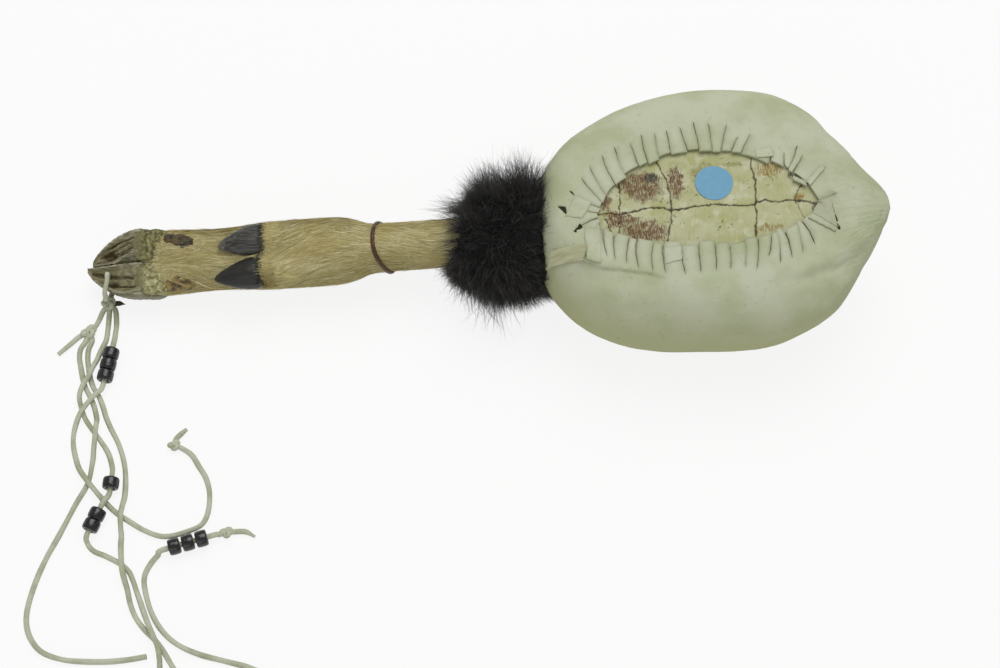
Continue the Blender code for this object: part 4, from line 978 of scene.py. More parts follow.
def hair_ribbons(name, lines, widths, tones, seed, outward=None):
    """Flat hairs that taper to a point, each along one of the lines, with its own tone.

    With a direction outward for each hair, the hairs lie about flat on the skin."""
    rng = np.random.default_rng(seed)
    count, steps = lines.shape[:2]
    ahead = np.gradient(lines, axis=1)
    face = rng.normal(size=(count, 1, 3))
    if outward is not None:
        face = outward[:, None] + 0.30 * face
    side = np.cross(ahead, face)
    side /= np.maximum(np.linalg.norm(side, axis=2, keepdims=True), 1e-9)
    taper = np.linspace(1, 0, steps) ** 0.7
    half = (widths[:, None] * taper[None] / 2)[..., None]
    left, right = lines - side * half, lines + side * half
    body = np.stack([left[:, :-1], right[:, :-1]], axis=2).reshape(count, -1, 3)
    points = np.concatenate([body, lines[:, -1:]], axis=1)
    per = points.shape[1]
    start = np.arange(count)[:, None] * per
    faces = []
    for k in range(steps - 2):
        faces += (start + np.array([2 * k, 2 * k + 1, 2 * k + 3, 2 * k + 2])).tolist()
    faces += (start + np.array([per - 3, per - 2, per - 1])).tolist()
    piece = new_piece(name, points.reshape(-1, 3), faces)
    add_values(piece, "tone", np.repeat(tones, per))
    depth = np.append(np.repeat(np.linspace(0, 1, steps)[:-1], 2), 1.0)
    add_values(piece, "tip", np.tile(depth, count))
    return piece


def collar_reach(turn):
    """How far down the leg the fur comes: less over its far side than on the near side."""
    return 0.0410 - 0.0065 * np.cos(turn)


def collar_radius(d, turn):
    """How far the fur stands out from the leg's line: fuller on the near side, sloping to the hooves."""
    full = 0.0350 - 0.0050 * np.cos(turn)
    share = d / collar_reach(turn)
    slope = 0.32 * ramp(share, 0.20, 1.0) * ramp(-np.cos(turn), 0.0, 0.8)
    swell = np.interp(share, [-0.10, 0.10, 0.70, 1.00, 1.20], [0.88, 1.00, 1.00, 0.86, 0.55])
    return full * (swell - slope)


def around_leg(d, turn, radius):
    """Points round the leg's own line."""
    return on_handle(d, radius * np.cos(turn), radius * np.sin(turn))


def keep_clear(points, tree, gap):
    """Move points that lie in the shell or under the table out to a small gap from it."""
    flat = points.reshape(-1, 3)
    for i in np.nonzero(flat[:, 0] > FUR_MEETS_SHELL)[0]:
        place, normal, _, away = tree.find_nearest(Vector(flat[i]))
        inside = (Vector(flat[i]) - place).dot(normal) < 0
        if not inside and away >= gap:
            continue
        top = hide_below(tree, *flat[i, :2])
        if inside and top is not None and 0 < top.z - flat[i, 2] < FUR_OVERLAP:
            flat[i, 2] = top.z + gap
        else:
            flat[i] = place + normal * gap
    flat[:, 2] = np.maximum(flat[:, 2], FUR_GAP)
    return flat.reshape(points.shape)


def build_collar(settings):
    """A collar of long black fur: hairs that stand out from the pelt in small clumps, with loose wisps."""
    rng = np.random.default_rng(5)
    tree = cover_tree()
    count = settings.fur_hairs
    clumps = 900
    clump_turn = rng.uniform(0, 2 * math.pi, clumps)
    clump_d = rng.uniform(-0.07, 0.90, clumps) * collar_reach(clump_turn)
    clump_lean = rng.normal(0, 0.0035, clumps)
    clump_swing = rng.normal(0, 0.10, clumps)
    clump_long = rng.normal(0.98, 0.055, clumps)
    mine = rng.integers(0, clumps, count)
    d = clump_d[mine] + rng.normal(0, 0.0016, count)
    turn = clump_turn[mine] + rng.normal(0, 0.055, count)
    far = np.cos(turn)
    near = ramp(-far, 0.0, 0.8)
    down = d / collar_reach(turn)
    wisp = rng.random(count) < 0.04 + 0.34 * ramp(far, -0.1, 0.9) + 0.06 * near * ramp(down, 0.1, 0.5)
    grow = clump_long[mine] + rng.normal(0, 0.05, count) + wisp * rng.uniform(0.06, 0.50, count)
    grow += 0.20 * ramp(far, 0.2, 0.8) * ramp(-down, -0.30, -0.05)
    grow = np.where((near > 0.4) & (down < 0.40), np.minimum(grow, 0.99), grow)
    lean = np.interp(down, [-0.07, 0.50, 0.90], [-0.006, 0.001, 0.0065])
    over = ramp(np.sin(turn), 0.15, 0.55) * ramp(-far, -0.5, 0.2)
    lean -= (0.005 + 0.005 * near + 0.009 * over) * ramp(-down, -0.40, -0.02)
    lean += clump_lean[mine] + rng.normal(0, 0.0018, count) + wisp * rng.normal(0.001, 0.006, count)
    lean += 0.005 * wisp * ramp(far, 0.0, 0.8)
    swing = clump_swing[mine] + rng.normal(0, 0.05, count)
    lines = np.zeros((count, 4, 3))
    tip_radius = collar_radius(d + lean, turn) * grow
    root_radius = 0.50 * collar_radius(d, turn)
    curl = rng.normal(0, 0.0011, (count, 3)) * (1 + 2.2 * wisp[:, None])
    for k, t in enumerate((0.0, 0.42, 0.74, 1.0)):
        bend = t ** 1.5
        radius = root_radius + (tip_radius - root_radius) * t
        lines[:, k] = around_leg(d + lean * bend, turn + swing * bend, radius)
        lines[:, k] += curl * math.sin(t * math.pi * 1.3) * t
        lines[:, k, 2] -= 0.0022 * t ** 2
    lines = keep_clear(lines, tree, 0.0005)
    lines[..., 2] -= 0.5 * np.maximum(lines[..., 2] - FUR_TOP, 0)
    fur = hair_ribbons("fur_hairs", lines, rng.uniform(0.00020, 0.00042, count), rng.random(count), 6)
    dress(fur, black_fur(), "rattle", "black_fur", "fur_collar")
    turns = circle(64)
    shares = np.linspace(-0.10, 0.93, 18)
    places = [share * collar_reach(turns) for share in shares]
    rings = [around_leg(d, turns, 0.80 * collar_radius(d, turns)) for d in places]
    ends = [around_leg(d, turns, np.full(64, PELT_BORE)) for d in (places[0], places[-1])]
    grid = np.array([ends[0], *rings, ends[1]])
    tuft = lumps(grid.reshape(-1, 3), 0.006, 9).reshape(len(grid), 64, 1)
    grid += 0.0016 * tuft * ramp(np.arange(len(grid)), 0, 2)[:, None, None]
    grid = keep_clear(grid, tree, 0.0012)
    pelt = ring_piece("fur_pelt", grid)
    smooth(pelt, 60)
    felt = mottled(
        "black_undercoat", 0.9, (0.0014,) * 3, 5.0, "#101010", (0.0, 1.0, 1.0, "#262524"), 0.8, 0.001, 0.1)
    dress(pelt, felt, "rattle", "black_fur")


def ring_piece(name, grid):
    """A piece from rings of points, the ends filled."""
    rows, sides = grid.shape[:2]
    faces = grid_faces(rows, sides, closed=True)
    faces.append(tuple(range(sides))[::-1])
    faces.append(tuple(range((rows - 1) * sides, rows * sides)))
    piece = new_piece(name, grid.reshape(-1, 3), faces)
    face_outwards(piece)
    return piece


def black_fur():
    """Long black fur: near black, with a cool shine along each hair and a few browner tips."""
    material, tree = blank_material("black_fur", 0.42, 1.55, 0.35)
    tone, tip = (node(tree, "Attribute", output="Fac", attribute_name=name) for name in ("tone", "tip"))
    return surfaced(material, layered(tree, "#2b2b2a", (tone, 0.0, 1.0, tip, "#565351")))


LEG_LINE = spline(LEG_STATIONS, 10)


def leg_size(d):
    """Half the leg's width and height at a distance from the neck."""
    return (np.interp(d, LEG_LINE[:, 0], LEG_LINE[:, column]) for column in (1, 2))


def claw_place(side):
    """Where a dewclaw's root lies along and across the leg."""
    return DEWCLAW_PLACE + DEWCLAW_LAG * (side < 0), side * DEWCLAW_SIDE + DEWCLAW_SHIFT


def claw_section(t):
    """A dewclaw's half width at a share of its length, and how far its root is sunk there."""
    return DEWCLAW_RADIUS * np.interp(t, CLAW_STATIONS, CLAW_SHARES), CLAW_SINK * ramp(0.02 - t, 0.0, 0.12)


def claw_swelling(d, y):
    """How far the skin swells up to carry the roots of the dewclaws."""
    rise = 0.0
    for side in (1, -1):
        root, middle = claw_place(side)
        along = ramp(d, root - 0.026, root) * (1 - ramp(d, root + 0.001, root + 0.009))
        rise = np.maximum(rise, along * np.exp(-((y - middle) / 0.0078) ** 2))
    return 0.0056 * rise


def leg_point(d, turn, lift=0.0):
    """A point on the leg's skin, or a lift above it, in the row frame."""
    wide, high = leg_size(d)
    y = (wide + lift) * np.cos(turn)
    z = (high + lift) * np.sin(turn)
    groove = 0.0016 * ramp(d, 0.150, 0.175) * np.exp(-(y / 0.0042) ** 2) * (np.sin(turn) > 0)
    swelling = claw_swelling(d, y) * ramp(np.sin(turn), 0.0, 0.5)
    return on_handle(d, y, z - groove + swelling)


def build_leg(settings):
    """The leg's haired skin: a smooth body with short hairs that lie along it towards the hooves."""
    rows = np.linspace(-0.002, 0.2000, 150)
    turns = circle(72)
    grid = np.array([leg_point(np.full(72, row), turns) for row in rows])
    flat = grid.reshape(-1, 3)
    swell = 0.0005 * lumps(flat * (0.5, 1, 1), 0.012, 12) + 0.00022 * lumps(flat * (0.3, 1, 1), 0.0035, 13)
    middle = grid.mean(axis=1, keepdims=True)
    away = grid - middle
    grid = grid + away / np.linalg.norm(away, axis=2, keepdims=True) * swell.reshape(150, 72, 1)
    leg = ring_piece("leg_skin", grid)
    smooth(leg, 60)
    dress(leg, deer_coat(settings, True), "rattle", "leg_hair", "leg_hide")
    rng = np.random.default_rng(21)
    count = settings.leg_hairs
    d = rng.uniform(0.034, 0.1985, count)
    turn = rng.uniform(0, 2 * math.pi, count)
    long = settings.hair_length * rng.uniform(0.6, 1.25, count)
    sweep = ramp(d, 0.100, 0.125) * ramp(-d, -0.172, -0.150)
    slant = 0.12 * np.sin(2 * turn + 1.0) + 0.16 * np.sin(d * 70) + 0.36 * sweep
    slant += rng.normal(0, 0.09, count)
    stand = rng.uniform(0.00012, 0.00045, count) + (rng.random(count) < 0.03) * 0.0007
    lines = np.zeros((count, 3, 3))
    for k, t in enumerate((0.0, 0.55, 1.0)):
        lines[:, k] = leg_point(d + long * t, turn + slant * t * long / 0.014, 0.0001 + stand * t ** 0.8)
    lines[:, :, 2] = np.maximum(lines[:, :, 2], LEG_HAIR_GAP)
    outward = leg_point(d, turn, 0.001) - leg_point(d, turn)
    outward /= np.linalg.norm(outward, axis=1, keepdims=True)
    tones = 0.50 + 0.26 * lumps(lines[:, 0] * (0.5, 1, 1), 0.011, 15) + rng.normal(0, 0.27, count)
    # Painted shade: hairs on the leg's underside are darker.
    tones -= 0.18 * ramp(-np.sin(turn), -0.2, 0.6)
    hairs = hair_ribbons(
        "leg_hairs", lines, rng.uniform(0.00018, 0.00040, count), np.clip(tones, 0, 1), 22, outward)
    dress(hairs, deer_coat(settings, False), "rattle", "leg_hair")
    build_tufts(settings)


def claw_top(d, y, side):
    """Height of a dewclaw's upper face over the leg's own line."""
    root, middle = claw_place(side)
    t = (d - root) / DEWCLAW_LENGTH
    half, sunk = claw_section(t)
    out = 1 - ((y - middle) / half) ** 2
    top = DEWCLAW_HEIGHT - sunk + 1.14 * half * DEWCLAW_DEPTH * np.sqrt(np.clip(out, 0, 1))
    return np.where((out > 0) & (t > -0.1), top, -1.0)


def claw_hairs(rng, side, count, start, spread, reach):
    """Lines of hair that lie over a dewclaw's root, each on the leg or on the claw below it."""
    across = rng.uniform(-1, 1, count)
    d0 = start + DEWCLAW_LAG * (side < 0) + rng.normal(0, spread, count)
    y = claw_place(side)[1] + across * TUFT_HALF_WIDTH
    long = rng.uniform(*reach, count)
    loose = rng.uniform(0.4, 1.2, count)
    drift = rng.normal(-0.0008, 0.0006, count)
    lines = np.zeros((count, 4, 3))
    for k, t in enumerate((0.0, 0.35, 0.7, 1.0)):
        d = d0 + long * t
        wide, high = leg_size(d)
        at = np.clip(y + drift * t, -1.03 * wide, 1.03 * wide)
        leg = high * np.sqrt(np.clip(1 - (at / wide) ** 2, 0.02, 1)) + claw_swelling(d, at)
        rise = 0.0002 + 0.0007 * math.sin(math.pi * min(1.0, t + 0.1)) * loose
        lines[:, k] = on_handle(d, at, np.maximum(leg, claw_top(d, at, side)) + rise)
    return lines


def build_tufts(settings):
    """Longer hair over the roots of the dewclaws, dark at the horn, and down between the heel pads."""
    rng = np.random.default_rng(31)
    up = np.array(HANDLE)[:3, 2]
    groups = [claw_hairs(rng, side, 1400, 0.1365, 0.0012, (0.0030, 0.0066)) for side in (1, -1)]
    fringe = [claw_hairs(rng, side, 420, 0.1416, 0.0006, (0.0012, 0.0034)) for side in (1, -1)]
    fringe = np.concatenate(fringe)
    count = 1500
    d0 = rng.uniform(0.170, 0.1895, count)
    y = rng.normal(-0.0010, 0.0042, count)
    long = rng.uniform(0.005, 0.0105, count)
    lift = rng.uniform(0, 0.0012, count)
    lines = np.zeros((count, 4, 3))
    for k, t in enumerate((0.0, 0.35, 0.7, 1.0)):
        z = 0.0098 + 0.0008 * t + lift - 0.10 * np.abs(y)
        lines[:, k] = on_handle(d0 + long * t, y * (1 - 0.35 * t) - 0.0012 * t, z)
    every = np.concatenate([*groups, lines])
    count = len(every)
    tones = np.clip(rng.normal(0.42, 0.22, count), 0, 1)
    widths = rng.uniform(0.00018, 0.00034, count)
    tufts = hair_ribbons("leg_tufts", every, widths, tones, 32, np.tile(up, (count, 1)))
    dress(tufts, deer_coat(settings, False), "rattle", "leg_hair")
    count = len(fringe)
    widths = rng.uniform(0.00018, 0.00030, count)
    dark = hair_ribbons("claw_fringe", fringe, widths, rng.random(count), 33, np.tile(up, (count, 1)))
    dress(dark, black_fur(), "rattle", "leg_hair")


def deer_coat(settings, skin):
    """Deer hair: matte tan, each hair its own shade, darker where the coat parts."""
    material, tree = blank_material("deer_skin" if skin else "deer_hair", 0.6, specular=0.25)
    place = node(tree, "TexCoord", output="Object")
    cloud = node(tree, "TexNoise", {"Vector": place, "Scale": 1 / 0.020, "Detail": 3.0})
    if skin:
        along = node(tree, "Mapping", {"Vector": place, "Scale": (1 / 0.009, 1 / 0.0011, 1 / 0.0011)})
        streak = node(tree, "TexNoise", {"Vector": along, "Scale": 1.0, "Detail": 4.0})
        share = node(tree, "MapRange", {"Value": streak, "From Min": 0.32, "From Max": 0.68})
        dark, pale, relief = "#988b57", "#d4ca8c", (streak, 0.7, 0.0006)
    else:
        share = node(tree, "Attribute", output="Fac", attribute_name="tone")
        dark, pale, relief = "#a89a62", "#ede7be", ()
    colour = layered(
        tree, dark, (share, 0.0, 1.0, 1.0, settings.hair_colour[:]), (share, 0.55, 1.0, 1.0, pale),
        (cloud, 0.50, 0.68, 0.4, "#c7b16c"))
    return surfaced(material, colour, *relief)


def build_band():
    """A narrow brown band drawn tight round the leg, leaning towards the hooves at its top."""
    bpy.ops.mesh.primitive_torus_add(
        major_radius=BAND_RADIUS, minor_radius=0.0010, major_segments=96, minor_segments=14)
    band = bpy.context.object
    band.name = "brown_band"
    for vert in band.data.vertices:
        out = Vector((vert.co.x, vert.co.y, 0))
        core = out.normalized() * BAND_RADIUS
        turn = math.atan2(core.y, core.x)
        rise = vert.co.z * 1.12 + 0.0003 * math.sin(3 * turn + 0.8)
        vert.co = core + (out - core) * 0.72 + Vector((0, 0, rise))
    stretch = Matrix.Diagonal((1 / math.cos(BAND_LEAN), 1 / math.cos(BAND_TILT), 1, 1))
    turned = Matrix.Rotation(BAND_TILT, 4, 'Z') @ Matrix.Rotation(math.pi / 2 - BAND_LEAN, 4, 'Y')
    band.data.transform(HANDLE @ Matrix.Translation((-BAND_PLACE, 0, 0)) @ turned @ stretch)
    smooth(band, 60)
    dyed = mottled("dyed_hide_lace", 0.45, (0.0022,) * 3, 4.0, "#432711", (0.45, 0.72, 1.0, "#6e4628"))
    dress(band, dyed, "rattle", "brown_band", "leg_band")


# Hooves

def hoof_ring(d, side, toe):
    """Cross section of a hoof: a wall at the cleft, round outside, and a sunken sole between its rims."""
    from_toe = toe - d
    reach = min(1.0, max(0.02, from_toe / HOOF_TAPER))
    wide = HOOF_WIDTH * math.sin(math.pi / 2 * reach) ** TOE_ROUND
    wide *= 1 - 0.14 * float(ramp(-d, -CORONET - 0.008, -CORONET))
    top = SOLE_HEIGHT - 0.30 * (SOLE_HEIGHT + HOOF_BELLY) * (1 - reach) ** 1.3
    belly_reach = min(1.0, from_toe / (toe - HOOF_BELLY_PLACE))
    bottom = -HOOF_BELLY + 0.42 * (SOLE_HEIGHT + HOOF_BELLY) * (1 - belly_reach) ** 1.4
    if d < HOOF_BELLY_PLACE:
        bottom = -HOOF_BELLY + 0.0022 * (HOOF_BELLY_PLACE - d) / (HOOF_BELLY_PLACE - CORONET)
    hollow = 0.0022 * math.exp(-((from_toe - 0.0105) / 0.0060) ** 2) + 0.0008
    hollow *= min(1.0, from_toe / 0.004)
    heel = float(ramp(-d, -CORONET - PAD_LENGTH + 0.001, -CORONET - PAD_LENGTH + 0.008))
    top = top * (1 - heel) + 0.0022 * heel
    hollow *= 1 - heel
    deep = top - bottom
    open_share = min(1.0, max(0.0, (CLEFT_END - d) / (CLEFT_END - CLEFT_START)))
    part = {1: CLEFT_GAPE, -1: 0.0}[side] * math.sin(math.pi * open_share ** 1.3) / max(wide, 0.004)
    outline = (
        (part, top - 0.01 * deep), (0.04 + part, top), (0.12 + part, top + 0.0002),
        (0.27 + part, top - hollow * 0.7), (0.48, top - hollow), (0.68, top - hollow * 0.8),
        (0.80, top - 0.0001), (0.90, top), (0.98, top - 0.07 * deep), (1.00, top - 0.30 * deep),
        (0.94, top - 0.62 * deep), (0.72, top - 0.90 * deep), (0.38, bottom), (0.10, top - 0.96 * deep),
        (0.00, top - 0.60 * deep), (0.0, top - 0.17 * deep),
    )
    sole = np.array((0, 0, 0.3, 1, 1, 1, 0.5, 0, 0, 0, 0, 0, 0, 0, 0, 0)) * (1 - heel)
    # Pale rims at the cleft and the outer wall are partly worn horn and partly a painted highlight; the
    # cleft's inner wall is painted lighter where it lies in shade.
    edge = np.array((0.6, 1, 0.2, 0, 0, 0, 0.2, 1, 0.5, 0, 0, 0, 0, 0, 0.3, 0.8)) * (1 - heel)
    ring = np.array([(-d, side * (CLEFT / 2 + out * wide), z) for out, z in outline])
    return ring, np.column_stack([sole, edge, edge])


def closed_fine(ring, pieces):
    """A closed ring of points made finer."""
    count = len(ring)
    line = spline(np.vstack([ring[-1:], ring, ring[:1], ring[1:2]]), pieces)
    return line[pieces:pieces + count * pieces]


def build_hooves(settings):
    """Two hoof claws, worn and dry: a hard wall round a crumbling sole that is hollow towards the toe."""
    for name, side, toe in (("upper", 1, TOE - 0.0030), ("lower", -1, TOE)):
        toe_steps = np.array((7.5, 5.5, 3.5, 2.0, 0.8)) * MM
        stations = np.r_[np.linspace(CORONET, toe - 0.010, 40), toe - toe_steps]
        grid, masks = [], []
        for d in stations:
            ring, mask = hoof_ring(d, side, toe)
            grid.append(closed_fine(ring, 5))
            masks.append(closed_fine(mask, 5))
        grid, masks = np.array(grid), np.clip(np.array(masks), 0, 1)
        sole = masks[..., 0]
        flat = grid.reshape(-1, 3)
        x, y = -flat[:, 0] / MM, flat[:, 1] / MM
        upper = sole.ravel() > 0.02
        hollow = patch(x, y, HOLLOWS[side], 0.4) * upper
        groove = np.zeros(len(x))
        for line, wide in GROOVES[side]:
            gap, _ = from_line(line, x + 0.5 * lumps(flat, 0.002, 43), y + 0.5 * lumps(flat, 0.002, 44))
            groove = np.maximum(groove, (1 - ramp(np.abs(gap), wide * 0.3, wide)) * upper)
        crumb = 0.0005 * lumps(flat, 0.0022, 40) + 0.0003 * lumps(flat, 0.0009, 41)
        growth = 0.00012 * np.sin(flat[:, 0] * 2100 + 1.5 * lumps(flat, 0.010, 42))
        soft = sole.ravel()
        flat[:, 2] += (soft * crumb + (1 - soft) * growth) * (0.35 + 0.65 * soft)
        flat[:, 2] -= 0.0018 * hollow + 0.0010 * groove
        flat[:, 1] += side * (1 - soft) * growth * np.sign(np.abs(flat[:, 1]) - 0.004)
        world = to_world(flat).reshape(grid.shape)
        world[..., 2] = np.maximum(world[..., 2], HOOF_GAP)
        hoof = ring_piece(f"hoof_{name}_claw", world)
        add_values(hoof, "sole", sole)
        add_values(hoof, "edge", masks[..., 1])
        # Brown in the hollows is rot; the brown along the grooves is painted shade.
        add_values(hoof, "brown", np.maximum(hollow, groove))
        smooth(hoof, 60)
        dress(hoof, hoof_horn(settings), "rattle", "hoof_horn", f"hoof_{name}")
        build_heel(name, side)
        build_scab(name, side)


def hoof_horn(settings):
    """Deer hoof, dried: grey-brown horn with growth lines, a crumbling sole, brown rot in hollows and
    painted shade along grooves, and pale rims that are partly wear and partly painted highlight.
    """
    material, tree = blank_material("hoof_horn", 0.5)
    place = node(tree, "TexCoord", output="Object")
    along = node(tree, "Mapping", {"Vector": place, "Scale": (1 / 0.010, 1 / 0.0012, 1 / 0.0012)})
    fibre = node(tree, "TexNoise", {"Vector": along, "Scale": 1.0, "Detail": 4.0})
    clot = node(tree, "TexNoise", {"Vector": place, "Scale": 1 / 0.0028, "Detail": 6.0})
    mask, edge, rot_and_groove_shade = (
        node(tree, "Attribute", output="Fac", attribute_name=name) for name in ("sole", "edge", "brown"))
    edge = node(tree, "Math", {0: edge, 1: fibre}, operation='MULTIPLY')
    rot_and_groove_shade = node(tree, "Math", {0: rot_and_groove_shade, 1: clot}, operation='MULTIPLY')
    wall = layered(
        tree, "#565236", (fibre, 0.36, 0.66, 1.0, settings.horn_colour[:]),
        (fibre, 0.58, 0.74, 0.7, "#b5af93"))
    sole = layered(tree, "#706944", (clot, 0.36, 0.60, 1.0, "#aea87a"))
    streaked = node(tree, "Mix", {0: 0.55, 6: sole, 7: wall}, 2, data_type='RGBA')
    colour = layered(
        # The pale rim colour is partly wear and partly painted light on the rims and on the cleft's inner
        # wall.
        tree, wall, (mask, 0.0, 1.0, 1.0, streaked), (edge, 0.25, 0.60, 0.6, "#b9b59c"),
        # Dark brown: rot in the hollows and painted shade along the grooves.
        (rot_and_groove_shade, 0.15, 0.50, 1.0, "#4b3c20"))
    relief = node(tree, "Mix", {0: mask, 2: fibre, 3: clot})
    return surfaced(material, colour, relief, 0.6, 0.0005)


def build_heel(name, side):
    """A heel bulb: soft skin dried to a granular, cracked swelling that runs into the sole."""
    bpy.ops.mesh.primitive_uv_sphere_add(segments=110, ring_count=76, radius=1.0)
    heel = bpy.context.object
    heel.name = f"heel_bulb_{name}"
    points = np.array([v.co for v in heel.data.vertices])
    squared = np.abs(points) ** 0.85 * np.sign(points)
    middle, half = HEELS[side]
    flat = points * (1, 1, 0.4)
    blob = 1 + 0.22 * lumps(flat, 0.75, 53 + side) + 0.10 * lumps(flat, 0.30, 55 + side)
    local = squared * half * blob[:, None]
    local += (-middle[0], middle[1], middle[2])
    local[:, 1] = side * np.minimum(side * local[:, 1], 0.0172)
    front = ramp(-local[:, 0], 0.202, 0.212)
    local[:, 2] = np.clip(local[:, 2], -0.004, 0.0094 - 0.0012 * front)
    cells = lumps(local, 0.0012, 50)
    grain = 0.0003 * np.abs(cells) + 0.0003 * lumps(local, 0.0008, 51) + 0.0006 * lumps(local, 0.005, 52)
    local += points * (grain * (1 - 0.6 * front))[:, None]
    heel.data.vertices.foreach_set("co", to_world(local).ravel())
    heel.data.update()
    cracks = np.clip(0.42 - 3.5 * np.abs(lumps(local, 0.0048, 57)), 0, 1)
    add_values(heel, "pits", np.maximum(np.clip(0.32 - 2.6 * np.abs(cells), 0, 1), 1.5 * cracks))
    add_values(heel, "front", front)
    smooth(heel, 60)
    material, tree = blank_material("heel_skin", 0.75)
    place = node(tree, "TexCoord", output="Object")
    clot = node(tree, "TexNoise", {"Vector": place, "Scale": 1 / 0.0020, "Detail": 6.0})
    pit, worn = (node(tree, "Attribute", output="Fac", attribute_name=key) for key in ("pits", "front"))
    worn = node(tree, "Math", {0: worn, 1: clot}, operation='MULTIPLY')
    # Painted light and shade: the lower bulb takes a lighter colour set than the upper one.
    dark, pale = {1: ("#57522c", "#a7a36c"), -1: ("#7f7a48", "#cbc898")}[side]
    skin = layered(
        tree, dark, (clot, 0.36, 0.66, 1.0, pale), (pit, 0.0, 1.0, 1.0, "#332d16"),
        (worn, 0.15, 0.45, 0.9, "#7a7552"))
    grit = node(tree, "TexVoronoi", {"Vector": place, "Scale": 1 / 0.0009})
    dress(heel, surfaced(material, skin, grit, 0.7, 0.0006), "rattle", "heel_pad", f"heel_pad_{name}")


def build_scab(name, side):
    """A strip of bare, dried skin on the leg behind the heel bulb."""
    start, end = (np.array(p) for p in SCABS[side])
    rows, columns = 34, 24
    grid = []
    for t in np.linspace(0, 1, rows):
        d, y = start + (end - start) * t
        half = 0.0040 * math.sin(math.pi * (0.05 + 0.90 * t)) ** 0.6
        half *= 1 + 0.35 * noise.noise(Vector((t * 7, side * 5, 0)))
        across = np.linspace(-1, 1, columns)
        at = np.clip(y + half * across, -0.0155, 0.0155)
        wide, _ = leg_size(d)
        lift = 0.0014 * (1 - across ** 4) - 0.0006
        grid.append(leg_point(np.full(columns, d), np.arccos(at / wide), lift))
    grid = np.array(grid)
    flat = grid.reshape(-1, 3)
    crumb = 0.0009 * lumps(flat, 0.0030, 60) + 0.0005 * lumps(flat, 0.0012, 61)
    grid[..., 2] += crumb.reshape(grid.shape[:2])
    scab = new_piece(f"bare_skin_{name}", grid.reshape(-1, 3), grid_faces(rows, columns))
    thicken(scab, 0.0009, 0.0)
    face_outwards(scab)
    smooth(scab, 60)
    dark, pale = {1: ("#1d1709", "#5f4d26"), -1: ("#4a3c1a", "#a48e52")}[side]
    crust = mottled("dried_skin", 0.55, (0.0030,) * 3, 6.0, dark, (0.36, 0.64, 1.0, pale), 0.8, 0.0008)
    dress(scab, crust, "rattle", "heel_pad")


def build_dewclaws():
    """Two small claws of dark horn that lie back along the leg, keeled on top and worn pale at the tip,
    with a painted sheen along their side edges and painted shade over the lower claw.
    """
    material, tree = blank_material("dewclaw_horn", 0.42)
    place = node(tree, "TexCoord", output="Object")
    along = node(tree, "Mapping", {"Vector": place, "Scale": (1 / 0.016, 1 / 0.0009, 1 / 0.0009)})
    fibre = node(tree, "TexNoise", {"Vector": along, "Scale": 1.0, "Detail": 3.0})
    worn, dark = (node(tree, "Attribute", output="Fac", attribute_name=key) for key in ("worn", "dark"))
    worn = node(tree, "Math", {0: fibre, 1: worn}, operation='MULTIPLY')
    tint = layered(
        # The worn colour is a worn pale tip and, along the side edges, a painted sheen.
        tree, "#2c2b28", (fibre, 0.40, 0.70, 1.0, "#5c5b56"), (worn, 0.25, 0.60, 1.0, "#7d7861"),
        # Painted shade: the lower claw is darkened all over.
        (dark, 0.0, 1.0, 1.0, "#1b1a14"))
    surfaced(material, tint, fibre, 0.35, 0.0003)
    sides = 44
    turns = circle(sides)
    crest = 0.16 * np.exp(-(np.cos(turns) / 0.35) ** 2) * (np.sin(turns) > 0)
    stations = np.r_[np.linspace(-0.10, 0.86, 26), 0.91, 0.95, 0.98, 1.0]
    for name, side in (("upper", 1), ("lower", -1)):
        rings = []
        for t in stations:
            half, sunk = claw_section(t)
            keel = 1 + crest * min(1.0, 1.2 - t)
            rings.append(np.stack([
                np.full(sides, -t * DEWCLAW_LENGTH), half * np.cos(turns),
                half * DEWCLAW_DEPTH * np.sin(turns) * keel - sunk], axis=-1))
        grid = np.array(rings)
        chips = lumps(grid.reshape(-1, 3), 0.0022, 70 + side).reshape(grid.shape[:2])
        grid[..., 2] += 0.00016 * chips
        local = grid.reshape(-1, 3) @ np.array(DEWCLAW_SET).T
        root, middle = claw_place(side)
        local += (-root, middle, DEWCLAW_HEIGHT)
        claw = ring_piece(f"dewclaw_{name}_horn", to_world(local).reshape(grid.shape))
        ridge = np.abs(np.cos(turns))
        tip = ramp(stations, 0.62, 0.98)[:, None] * np.ones(sides)
        # Worn pale towards the tip; the pale lines along the side edges are a painted sheen.
        add_values(claw, "worn", np.maximum(tip, 0.7 * ramp(stations, 0.2, 0.6)[:, None] * (ridge > 0.93)))
        # Painted shade over the lower claw, lighter along its side edges.
        painted_shade_share = 0.9 if side < 0 else 0.0
        add_values(claw, "dark", np.tile(painted_shade_share * (1 - 0.7 * ramp(ridge, 0.75, 1.0)), len(stations)))
        smooth(claw, 60)
        dress(claw, material, "rattle", "hoof_horn", f"dewclaw_{name}")


# Lace, knots and beads

def route_line(route):
    """The lace's middle line along a route: smooth, and straight where it runs through beads."""
    pieces = 12
    line = spline(route, pieces)
    spans = [line[:1]]
    for k in range(len(route) - 1):
        if route[k][2] == route[k + 1][2] == AXLE:
            spans.append(np.linspace(route[k], route[k + 1], pieces + 1)[1:])
        else:
            spans.append(line[k * pieces + 1:(k + 1) * pieces + 1])
    made = np.vstack(spans)
    made[:, 2] = np.maximum(made[:, 2], LOW)
    return spaced(made, 0.0007) + np.array(KNOT_1)


